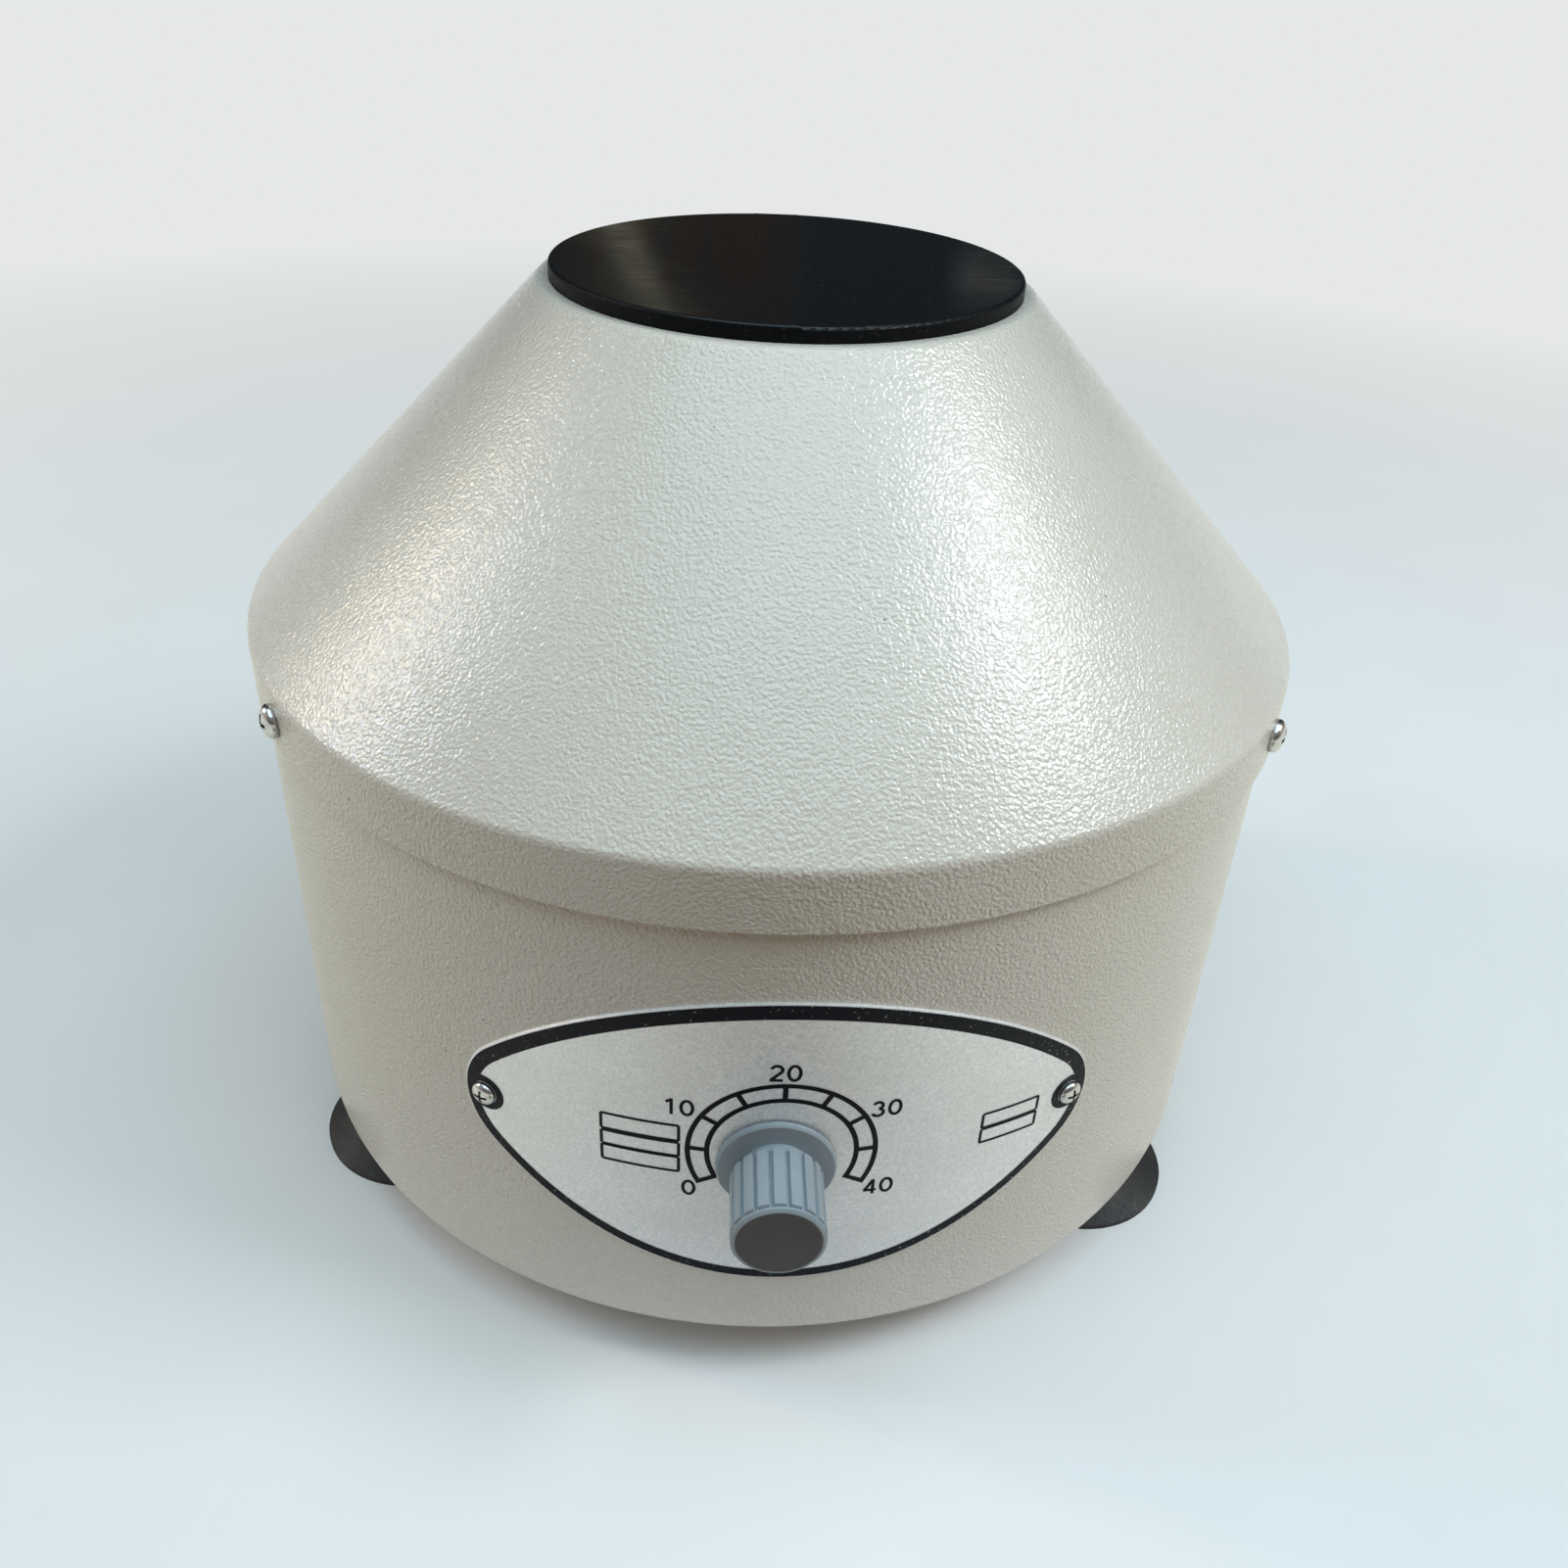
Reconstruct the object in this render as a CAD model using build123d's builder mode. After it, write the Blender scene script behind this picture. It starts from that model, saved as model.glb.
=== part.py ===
from build123d import *
import math
import os

os.makedirs("parts", exist_ok=True)

# Outer form, in millimetres above the bench
stand = 15.0
drum_radius = 128.4
drum_height = 135.5
drum_gauge = 1.0
drum_bend = 3.0
base_flange_width = 38.4
rim_bend_gap = 0.5
cone_gauge = 1.2
skirt_gap = 0.5
skirt_bottom = 122.3
skirt_height = 14.4
cone_rise = 75.0
ledge_width = 7.3
mouth_radius = 50.0
mouth_lip = 5.0
cone_bend = 2.5

# Lid and its hinge
lid_radius = 54.75
lid_thickness = 3.5
lid_rim_depth = 5.0
lid_rim_wall = 2.0
seal_thickness = 0.8
seal_gap = 0.5
hinge_setback = 7.2
hinge_drop = 1.5
hinge_pin_radius = 1.25
hinge_barrel_radius = 2.4
hinge_barrel_width = 12.0
hinge_ear_width = 5.5
hinge_side_gap = 0.4
hinge_leaf_gauge = 1.0
hinge_leaf_length = 16.0
hinge_running_gap = 0.05
lid_travel = 100.0
lid_heel_half = 1.0
lug_thickness = 1.5

# Front plate, knob and speed control
plate_height = 77.5
plate_half_height = 41.4
plate_arc_radius = 88.0
plate_end_radius = 20.0
plate_gauge = 0.8
plate_screw_x = 65.1
control_height = 74.0
control_azimuth = -0.7
knob_gap = 0.3
knob_length = 20.7
knob_flange_radius = 13.0
knob_flange_depth = 1.4
knob_flange_bevel = 0.5
knob_neck_radius = 8.4
knob_neck_length = 2.3
knob_neck_wall = 1.4
knob_grip_radius = 9.95
knob_groove_count = 18
knob_groove_width = 0.6
knob_groove_depth = 0.45
knob_cap_radius = 9.0
knob_cap_thickness = 1.4
control_bush_radius = 3.5
control_shaft_radius = 3.0
control_body_radius = 12.0
control_body_depth = 10.0

# Chamber and rotor
pan_floor = 118.0
pan_gauge = 1.0
pan_side_gap = 11.9
pan_flange_inset = 4.4
pan_hole_radius = 14.0
pan_bend = 3.0
tube_tilt = 40.0
tube_count = 6
tube_tip_radius = 100.0
tube_radius = 10.0
sleeve_clearance = 0.3
sleeve_wall = 0.8
sleeve_length = 70.0
sleeve_flange_width = 2.3
sleeve_flange_thickness = 1.2
sleeve_floor_gap = 9.0
boss_wall = 3.0
boss_length = 22.0
pocket_clearance = 0.1
rotor_web = 4.0
rotor_web_along = 60.0
rotor_rim_radius = 67.0
rotor_rim_drop = 7.0
rotor_hub_radius = 14.0
rotor_hub_bottom = 138.0
rotor_hub_top = 166.0
shaft_radius = 4.0
shaft_thread_radius = 3.0
nut_height = 6.0
nut_flange = 1.2

# Motor, hung from its plate on three damped pillars
base_plate_gauge = 1.5
base_plate_gap = 3.4
vent_inset = 84.0
vent_count = 8
vent_length = 28.0
vent_width = 8.0
motor_plate_bottom = 104.0
motor_plate_gauge = 2.5
pillar_ring_radius = 60.0
motor_plate_lobe = 14.0
pillar_radius = 6.0
isolator_height = 12.0
isolator_radius = 10.0
stator_bottom = 60.0
stator_stack = 32.0
stator_radius = 40.0
yoke_inner = 33.0
armature_radius = 19.0
air_gap = 0.6
pole_neck = 18.0
coil_side = 4.0
coil_overhang = 5.0
commutator_bottom = 41.5
commutator_length = 10.0
commutator_radius = 11.0
brush_gap = 0.2
bush_radius = 7.0
bush_length = 12.0
bush_running_gap = 0.03
bell_wall = 4.0
bell_disc = 3.0
fan_radius = 30.0
fan_thickness = 5.5
tie_bolt_inset = 3.5
bell_boss_wall = 5.0

# Fasteners, feet and small clearances
foot_inset = 20.4
foot_lip_radius = 25.0
foot_top_radius = 15.0
foot_neck_radius = 11.5
foot_neck_height = 8.0
foot_collar_height = 10.5
foot_lip_width = 4.5
foot_lip_height = 1.4
foot_cup = 6.0
foot_web = 3.0
foot_recess_radius = 6.0
foot_azimuths = (-65, 55, 175)
cone_screw_azimuths = (-60, 60, 180)
cone_screw_rise = 6.7
cone_screw_radius = 2.0
cone_screw_length = 8.0
cone_screw_head = 4.0
cone_screw_head_height = 2.8
cone_nut_flats = 7.0
cone_nut_height = 3.2
small_screw_radius = 1.5
small_screw_head = 2.8
small_screw_head_height = 2.0
plate_screw_length = 6.0
plate_screw_head = 2.9
plate_screw_head_height = 2.1
pan_screw_length = 7.0
pan_screw_inset = 3.5
rim_screw_azimuths = (0, 120, 240)
motor_screw_head = 3.5
motor_screw_head_height = 2.5
foot_screw_radius = 2.5
foot_screw_head = 4.5
foot_screw_head_height = 2.4
foot_screw_end = 5.0
foot_nut_flats = 8.0
foot_nut_height = 4.0
thread_engagement = 8.0
hole_clearance = 0.2
close_clearance = 0.05
fuse_azimuth = -155.0
fuse_height = 66.0
cord_height = 50.0
grommet_hole_radius = 7.0
cord_radius = 3.4
fuse_hole_radius = 6.2

# Heights and places worked out from the sizes above
base_flange_inner = drum_radius - base_flange_width
base_plate_radius = drum_radius - drum_gauge - base_plate_gap
foot_circle = drum_radius - foot_inset
vent_ring_radius = base_plate_radius - vent_inset
pan_radius = drum_radius - drum_gauge - pan_side_gap
pan_flange_radius = drum_radius - pan_flange_inset
rim_top = stand + drum_height
flange_top = stand + drum_gauge
floor_top = flange_top + base_plate_gauge
skirt_z = stand + skirt_bottom
cone_screw_height = skirt_z + cone_screw_rise
shoulder_z = skirt_z + skirt_height
skirt_outer = drum_radius + skirt_gap + cone_gauge
mouth_z = shoulder_z + cone_rise
ledge_radius = mouth_radius + ledge_width
cone_run = skirt_outer - ledge_radius
motor_plate_top = motor_plate_bottom + motor_plate_gauge
stator_top = stator_bottom + stator_stack
plate_radius = drum_radius + plate_gauge
knob_back = plate_radius + knob_gap
sleeve_bore = tube_radius + sleeve_clearance
sleeve_outer = sleeve_bore + sleeve_wall
pocket_bore = sleeve_outer + pocket_clearance
tip_centre_radius = tube_tip_radius - tube_radius
tip_centre_z = pan_floor + sleeve_floor_gap + sleeve_outer
tilt_sin = math.sin(math.radians(tube_tilt))
tilt_cos = math.cos(math.radians(tube_tilt))
tie_bolt_y = stator_radius - tie_bolt_inset
tie_bolt_spots = [(0, tie_bolt_y), (0, -tie_bolt_y)]


def keep(piece, name):
    # Label one finished sub-part and write its STEP file
    piece.label = name
    export_step(piece, f"parts/{name}.step")


def outward(azimuth, radius, height):
    # Plane that faces out from the drum's axis; azimuth 0 is the front, and plus is towards +X
    angle = math.radians(azimuth)
    out = Vector(math.sin(angle), -math.cos(angle), 0)
    side = Vector(math.cos(angle), math.sin(angle), 0)
    return Plane(origin=out * radius + Vector(0, 0, height), x_dir=side, z_dir=out)


def upright(azimuth, radius, height):
    # Level plane at a place on a circle, with its X along the circle
    angle = math.radians(azimuth)
    place = Vector(math.sin(angle) * radius, -math.cos(angle) * radius, height)
    side = Vector(math.cos(angle), math.sin(angle), 0)
    return Plane(origin=place, x_dir=side, z_dir=(0, 0, 1))


def turned(*outline):
    # Solid of revolution about Z from (radius, height) points
    with BuildPart() as piece:
        with BuildSketch(Plane.XZ):
            with BuildLine():
                Polyline(*outline, close=True)
            make_face()
        revolve(axis=Axis.Z)
    return piece.part


def pressed(gauge, bend, *path):
    # Sheet metal of revolution: the path is the outer skin, and the gauge goes to its left
    with BuildPart() as piece:
        with BuildSketch(Plane.XZ):
            with BuildLine():
                FilletPolyline(*path, radius=bend)
                offset(amount=gauge, side=Side.LEFT)
            make_face()
        revolve(axis=Axis.Z)
    return piece.part


def folded(gauge, *path):
    # The same with sharp folds, for edges that other pieces hide
    with BuildPart() as piece:
        with BuildSketch(Plane.XZ):
            with BuildLine():
                Polyline(*path)
                offset(amount=gauge, side=Side.LEFT, kind=Kind.INTERSECTION)
            make_face()
        revolve(axis=Axis.Z)
    return piece.part


def pan_screw(radius, length, head_radius, head_height):
    # Cross-recess pan head screw; its head stands on the plane, and its shank goes down
    with BuildPart() as screw:
        add(
            turned(
                (0, -length),
                (radius, -length),
                (radius, 0),
                (head_radius, 0),
                (head_radius, 0.35 * head_height),
                (0.92 * head_radius, 0.68 * head_height),
                (0.74 * head_radius, 0.9 * head_height),
                (0.45 * head_radius, head_height),
                (0, head_height),
            )
        )
        with BuildSketch(Plane.XY.offset(head_height)):
            Rectangle(1.15 * head_radius, 0.26 * head_radius)
            Rectangle(0.26 * head_radius, 1.15 * head_radius)
        extrude(amount=-0.6 * head_height, mode=Mode.SUBTRACT)
    return screw.part


def plain_screw(radius, length, head_radius, head_height):
    # Cheese head screw for hidden places; its head stands on the plane
    with BuildPart() as screw:
        Cylinder(head_radius, head_height, align=(Align.CENTER, Align.CENTER, Align.MIN))
        Cylinder(radius, length, align=(Align.CENTER, Align.CENTER, Align.MAX))
    return screw.part


def hex_nut(bore, across_flats, height):
    # Plain nut that stands on the plane
    with BuildPart() as nut:
        with BuildSketch(Plane.XY):
            RegularPolygon(across_flats / 2, 6, major_radius=False)
            Circle(bore, mode=Mode.SUBTRACT)
        extrude(amount=height)
    return nut.part


# Drum: rolled steel wall with a turned-in foot flange and a turned-in rim
rim_screws = [
    upright(a, pan_flange_radius - pan_screw_inset, rim_top + pan_gauge) for a in rim_screw_azimuths
]
foot_places = [upright(a, foot_circle, stand) for a in foot_azimuths]
cone_screw_places = [outward(a, skirt_outer, cone_screw_height) for a in cone_screw_azimuths]
plate_screw_turn = math.degrees(math.asin(plate_screw_x / plate_radius))
plate_screw_places = [
    outward(a, plate_radius, plate_height) for a in (-plate_screw_turn, plate_screw_turn)
]
with BuildPart() as base_shell:
    add(
        pressed(
            drum_gauge,
            drum_bend,
            (base_flange_inner, stand),
            (drum_radius, stand),
            (drum_radius, rim_top - drum_gauge),
        )
    )
    with BuildSketch(Plane.XY.offset(rim_top)):
        Circle(drum_radius)
        Circle(pan_radius + rim_bend_gap, mode=Mode.SUBTRACT)
    extrude(amount=-drum_gauge)
    with Locations(outward(control_azimuth, drum_radius + 1, control_height)):
        Hole(control_bush_radius + hole_clearance, depth=4)
    with Locations(*[p.offset(1) for p in plate_screw_places]):
        Hole(small_screw_radius + close_clearance, depth=5)
    with Locations(*cone_screw_places):
        Hole(cone_screw_radius + hole_clearance, depth=5)
    with Locations(*[p.offset(2) for p in foot_places]):
        Hole(foot_screw_radius + hole_clearance, depth=4)
    with Locations(*[p.offset(1) for p in rim_screws]):
        Hole(small_screw_radius + close_clearance, depth=4)
    with Locations(outward(180, drum_radius + 1, cord_height)):
        Hole(grommet_hole_radius, depth=4)
    with Locations(outward(fuse_azimuth, drum_radius + 1, fuse_height)):
        Hole(fuse_hole_radius, depth=4)
keep(base_shell.part, "base_shell")

# Base plate, with a ring of air slots under the motor's fan
with BuildPart() as base_plate:
    with BuildSketch(Plane.XY.offset(flange_top)):
        Circle(base_plate_radius)
        with PolarLocations(vent_ring_radius, vent_count):
            SlotOverall(vent_length, vent_width, mode=Mode.SUBTRACT)
        with PolarLocations(pillar_ring_radius, 3, start_angle=-90):
            Circle(foot_screw_radius + hole_clearance, mode=Mode.SUBTRACT)
        with Locations(*[(p.origin.X, p.origin.Y) for p in foot_places]):
            Circle(foot_screw_radius + hole_clearance, mode=Mode.SUBTRACT)
    extrude(amount=base_plate_gauge)
keep(base_plate.part, "base_plate")

# Suction feet, each with a hollow cup below and a recess for its screw
foot_bore = foot_screw_radius + hole_clearance
foot_head_seat = foot_cup + foot_web
foot = turned(
    (foot_lip_radius - foot_lip_width, 0),
    (foot_lip_radius, 0),
    (foot_lip_radius, foot_lip_height),
    (foot_neck_radius, foot_neck_height),
    (foot_top_radius, foot_collar_height),
    (foot_top_radius, stand),
    (foot_bore, stand),
    (foot_bore, foot_head_seat),
    (foot_recess_radius, foot_head_seat),
    (foot_recess_radius, foot_cup),
)
for place, side in zip(foot_places, ("left", "right", "rear")):
    with BuildPart() as suction_foot:
        with Locations(place.offset(-stand)):
            add(foot)
    keep(suction_foot.part, f"suction_foot_{side}")

with BuildPart() as foot_screws:
    with Locations(*[p.offset(foot_head_seat - stand) for p in foot_places]):
        add(
            plain_screw(
                foot_screw_radius,
                floor_top - foot_head_seat + foot_screw_end,
                foot_screw_head,
                foot_screw_head_height,
            ),
            rotation=(180, 0, 0),
        )
keep(foot_screws.part, "foot_screws")

with BuildPart() as foot_nuts:
    with Locations(*[p.offset(floor_top - stand) for p in foot_places]):
        add(hex_nut(foot_screw_radius + close_clearance, foot_nut_flats, foot_nut_height))
keep(foot_nuts.part, "foot_nuts")

# Cone cover: spun skirt, shoulder and cone, with a ledge and a turned-down lip at its mouth
slope = math.atan2(cone_rise, cone_run)
slope_length = math.hypot(cone_rise, cone_run)
pin_y = ledge_radius + hinge_setback
pin_z = mouth_z - hinge_drop
pin_along = hinge_setback * math.cos(slope) + hinge_drop * math.sin(slope)
pin_height = hinge_setback * math.sin(slope) - hinge_drop * math.cos(slope)
slope_foot = Vector(
    0,
    ledge_radius + pin_along * math.cos(slope),
    mouth_z - pin_along * math.sin(slope),
)
slope_plane = Plane(
    origin=slope_foot,
    x_dir=(1, 0, 0),
    z_dir=(0, math.sin(slope), math.cos(slope)),
)
rivet_radius = 1.6
rivet_spacing = 14.0
rivet_along = 8.0
rivet_spots = [(rivet_spacing / 2, rivet_along), (-rivet_spacing / 2, rivet_along)]
leaf_lead = 2.4
mouth_joint = 3.0
with BuildPart() as cone_cover:
    add(
        pressed(
            cone_gauge,
            cone_bend,
            (skirt_outer, skirt_z),
            (skirt_outer, shoulder_z),
            (ledge_radius, mouth_z),
        )
    )
    add(
        folded(
            cone_gauge,
            (ledge_radius + mouth_joint * math.cos(slope), mouth_z - mouth_joint * math.sin(slope)),
            (ledge_radius, mouth_z),
            (mouth_radius, mouth_z),
            (mouth_radius, mouth_z - mouth_lip),
        )
    )
    with Locations(*[p.offset(1) for p in cone_screw_places]):
        Hole(cone_screw_radius + hole_clearance, depth=4)
    with Locations(slope_plane.offset(1)):
        with Locations(*rivet_spots):
            Hole(rivet_radius + close_clearance, depth=5)
keep(cone_cover.part, "cone_cover")

with BuildPart() as cone_screws:
    with Locations(*cone_screw_places):
        add(
            pan_screw(
                cone_screw_radius, cone_screw_length, cone_screw_head, cone_screw_head_height
            )
        )
keep(cone_screws.part, "cone_screws")

with BuildPart() as cone_nuts:
    with Locations(
        *[p.offset(drum_radius - drum_gauge - 0.3 - skirt_outer) for p in cone_screw_places]
    ):
        add(
            hex_nut(cone_screw_radius + close_clearance, cone_nut_flats, cone_nut_height),
            rotation=(180, 0, 0),
        )
keep(cone_nuts.part, "cone_nuts")

# Hinge bracket on the rear slope: a leaf and two ears round the pin
ear_inner = hinge_barrel_width / 2 + hinge_side_gap
with BuildPart() as hinge_bracket:
    with Locations(slope_plane):
        with Locations((0, leaf_lead - pin_along)):
            Box(
                2 * (ear_inner + hinge_ear_width),
                hinge_leaf_length,
                hinge_leaf_gauge,
                align=(Align.CENTER, Align.MIN, Align.MIN),
            )
    for side in (-1, 1):
        with BuildSketch(Plane.YZ.offset(side * ear_inner)):
            with Locations((pin_y, pin_z)):
                Circle(hinge_barrel_radius)
            with Locations(Location((slope_foot.Y, slope_foot.Z), -math.degrees(slope))):
                Rectangle(
                    2 * hinge_barrel_radius - 0.4,
                    pin_height,
                    align=(Align.CENTER, Align.MIN),
                )
        extrude(amount=side * hinge_ear_width)
    with Locations(Plane.YZ.offset(ear_inner + hinge_ear_width + 1)):
        with Locations((pin_y, pin_z)):
            Hole(hinge_pin_radius + 0.01, depth=2 * (ear_inner + hinge_ear_width) + 4)
    with Locations(slope_plane.offset(hinge_leaf_gauge + 1)):
        with Locations(*rivet_spots):
            Hole(rivet_radius + close_clearance, depth=4)
keep(hinge_bracket.part, "hinge_bracket")

with BuildPart() as hinge_pin:
    with Locations(Plane.YZ.offset(-ear_inner - hinge_ear_width)):
        with Locations((pin_y, pin_z)):
            Cylinder(
                hinge_pin_radius,
                2 * (ear_inner + hinge_ear_width),
                align=(Align.CENTER, Align.CENTER, Align.MIN),
            )
keep(hinge_pin.part, "hinge_pin")

rivet_grip = hinge_leaf_gauge + cone_gauge + 0.6
rivet = turned(
    (0, -rivet_grip - 1.8),
    (1.0, -rivet_grip - 1.8),
    (2.5, -rivet_grip - 0.6),
    (2.5, -rivet_grip),
    (rivet_radius, -rivet_grip),
    (rivet_radius, 0),
    (3.0, 0),
    (3.0, 0.3),
    (1.8, 1.1),
    (0, 1.1),
)
with BuildPart() as hinge_rivets:
    with Locations(slope_plane.offset(hinge_leaf_gauge)):
        with Locations(*rivet_spots):
            add(rivet)
keep(hinge_rivets.part, "hinge_rivets")

# Lid: a flat disc with a locating rim below, and a lug with the hinge barrel and its stop heel
rim_outer = mouth_radius - seal_gap - seal_thickness
heel_turn = math.radians(180 - math.degrees(math.pi / 2 - slope) - lid_travel - 1.5)
heel_reach = (
    pin_height - hinge_leaf_gauge - lid_heel_half * math.sin(heel_turn)
) / math.cos(heel_turn)
with BuildPart() as lid:
    with BuildSketch(Plane.XY.offset(mouth_z)):
        Circle(lid_radius)
    extrude(amount=lid_thickness)
    fillet(lid.edges().group_by(Axis.Z)[-1], radius=0.8)
    with BuildSketch(Plane.XY.offset(mouth_z)):
        Circle(rim_outer)
        Circle(rim_outer - lid_rim_wall, mode=Mode.SUBTRACT)
    extrude(amount=-lid_rim_depth)
    with BuildSketch(Plane.YZ.offset(-hinge_barrel_width / 2)):
        with Locations((pin_y, mouth_z)):
            Rectangle(pin_y - mouth_radius, lug_thickness, align=(Align.MAX, Align.MIN))
        with Locations((pin_y, pin_z)):
            Circle(hinge_barrel_radius)
            Rectangle(heel_reach, 2 * lid_heel_half, align=(Align.MIN, Align.CENTER))
            Circle(hinge_pin_radius + hinge_running_gap, mode=Mode.SUBTRACT)
    extrude(amount=hinge_barrel_width)
keep(lid.part, "lid")

with BuildPart() as lid_seal:
    with BuildSketch(Plane.XY.offset(mouth_z - 0.3)):
        Circle(rim_outer + seal_thickness)
        Circle(rim_outer + close_clearance, mode=Mode.SUBTRACT)
    extrude(amount=-3.0)
keep(lid_seal.part, "lid_seal")

# Dial plate: a lens outline bent to the drum
with BuildPart() as dial_plate:
    with BuildSketch(Plane.XY.offset(plate_height - plate_half_height - 1)):
        Circle(plate_radius)
        Circle(drum_radius, mode=Mode.SUBTRACT)
    extrude(amount=2 * plate_half_height + 2)
    with BuildSketch(Plane.XZ.offset(drum_radius / 2)):
        with BuildLine():
            tip = math.sqrt(plate_arc_radius**2 - (plate_arc_radius - plate_half_height) ** 2)
            ThreePointArc(
                (-tip, plate_height), (0, plate_height + plate_half_height), (tip, plate_height)
            )
            ThreePointArc(
                (tip, plate_height), (0, plate_height - plate_half_height), (-tip, plate_height)
            )
        make_face()
        fillet(vertices(), radius=plate_end_radius)
    extrude(amount=drum_radius, mode=Mode.INTERSECT)
    with Locations(outward(control_azimuth, plate_radius + 1, control_height)):
        Hole(control_bush_radius + hole_clearance, depth=4)
    with Locations(*[p.offset(1) for p in plate_screw_places]):
        Hole(small_screw_radius + close_clearance, depth=4)
keep(dial_plate.part, "dial_plate")

with BuildPart() as dial_plate_screws:
    with Locations(*plate_screw_places):
        add(
            pan_screw(
                small_screw_radius, plate_screw_length, plate_screw_head, plate_screw_head_height
            )
        )
keep(dial_plate_screws.part, "dial_plate_screws")

# Speed control behind the plate: body, threaded bush and nut
wall_inner = drum_radius - drum_gauge
control_face = math.sqrt(wall_inner**2 - control_body_radius**2) - 0.2
control_bush_end = plate_radius + 5.0
control_axis = outward(control_azimuth, 0, control_height)
shaft_start = control_face - control_body_depth + 3
with BuildPart() as speed_control:
    with Locations(control_axis.offset(control_face)):
        Cylinder(
            control_body_radius,
            control_body_depth,
            align=(Align.CENTER, Align.CENTER, Align.MAX),
        )
        Cylinder(
            control_bush_radius,
            control_bush_end - control_face,
            align=(Align.CENTER, Align.CENTER, Align.MIN),
        )
    with Locations(control_axis.offset(control_face - control_body_depth / 2)):
        with Locations(*[(x, -control_body_radius) for x in (-5, 0, 5)]):
            Box(2.0, 12.0, 0.6)
    with Locations(control_axis.offset(control_bush_end)):
        Hole(control_shaft_radius + close_clearance, depth=control_bush_end - shaft_start)
keep(speed_control.part, "speed_control")

with BuildPart() as speed_control_nut:
    with Locations(control_axis.offset(plate_radius)):
        add(hex_nut(control_bush_radius + close_clearance, 11, 2.4))
keep(speed_control_nut.part, "speed_control_nut")

# Knob body: the control's shaft with its flat, the fluted knob and its cap
knob_front = knob_back + knob_length
knob_hollow = control_bush_end - knob_back + 0.5
shaft_flat = 1.5
shaft_end = knob_front - knob_cap_thickness - 3.0
flat_start = knob_back + knob_hollow + 1.0
with BuildPart() as control_shaft:
    with Locations(control_axis.offset(shaft_start + 0.3)):
        Cylinder(
            control_shaft_radius,
            shaft_end - shaft_start - 0.3,
            align=(Align.CENTER, Align.CENTER, Align.MIN),
        )
    with Locations(control_axis.offset(flat_start)):
        with Locations((0, shaft_flat)):
            Box(
                3 * control_shaft_radius,
                2 * control_shaft_radius,
                shaft_end,
                align=(Align.CENTER, Align.MIN, Align.MIN),
                mode=Mode.SUBTRACT,
            )
keep(control_shaft.part, "control_shaft")

grip_start = knob_flange_depth + knob_neck_length
grip_end = knob_length - 1.7
knob_form = turned(
    (0, 0),
    (knob_flange_radius, 0),
    (knob_flange_radius, knob_flange_depth - knob_flange_bevel),
    (knob_flange_radius - knob_flange_bevel, knob_flange_depth),
    (knob_neck_radius, knob_flange_depth),
    (knob_neck_radius, grip_start),
    (knob_grip_radius, grip_start),
    (knob_grip_radius, grip_end),
    (knob_grip_radius - 0.5, grip_end + 0.15),
    (knob_grip_radius - 0.5, grip_end + 0.45),
    (knob_grip_radius - 0.1, grip_end + 0.6),
    (knob_grip_radius - 0.1, knob_length - 0.5),
    (knob_cap_radius + 0.2, knob_length),
    (0, knob_length),
)
with BuildPart() as speed_knob:
    with Locations(control_axis.offset(knob_back)):
        add(knob_form)
        with Locations((0, 0, grip_start)):
            with PolarLocations(knob_grip_radius, knob_groove_count, start_angle=10):
                Box(
                    2 * knob_groove_depth,
                    knob_groove_width,
                    grip_end - grip_start,
                    align=(Align.CENTER, Align.CENTER, Align.MIN),
                    mode=Mode.SUBTRACT,
                )
        with Locations((0, 0, knob_hollow)):
            Hole(knob_neck_radius - knob_neck_wall, depth=knob_hollow)
        with Locations((0, 0, knob_length)):
            Hole(knob_cap_radius + close_clearance, depth=knob_cap_thickness)
        with Locations((0, 0, flat_start - knob_back)):
            Hole(control_shaft_radius + close_clearance, depth=flat_start - knob_back)
    with BuildSketch(control_axis.offset(flat_start)):
        Circle(control_shaft_radius + close_clearance)
        with Locations((0, shaft_flat + close_clearance)):
            Rectangle(
                3 * control_shaft_radius,
                control_shaft_radius,
                align=(Align.CENTER, Align.MIN),
                mode=Mode.SUBTRACT,
            )
    extrude(amount=shaft_end + 0.3 - flat_start, mode=Mode.SUBTRACT)
keep(speed_knob.part, "speed_knob")

with BuildPart() as knob_cap:
    with Locations(control_axis.offset(knob_front)):
        Cylinder(knob_cap_radius, knob_cap_thickness, align=(Align.CENTER, Align.CENTER, Align.MAX))
    fillet(knob_cap.edges().sort_by(Axis.Y)[0], radius=0.4)
keep(knob_cap.part, "knob_cap")

# Rear fittings: cord grommet, and the fuse holder with its cap, nut and fuse
grommet_wall = drum_gauge + 0.4
with BuildPart() as cord_grommet:
    with Locations(outward(180, drum_radius, cord_height)):
        add(
            turned(
                (cord_radius, -grommet_wall - 1.8),
                (grommet_hole_radius + 1.4, -grommet_wall - 1.8),
                (grommet_hole_radius + 2.0, -grommet_wall),
                (grommet_hole_radius - close_clearance, -grommet_wall),
                (grommet_hole_radius - close_clearance, 0),
                (grommet_hole_radius + 2.5, 0),
                (grommet_hole_radius + 2.0, 2.0),
                (cord_radius + 1.0, 3.6),
                (cord_radius, 3.6),
            )
        )
keep(cord_grommet.part, "cord_grommet")

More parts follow.
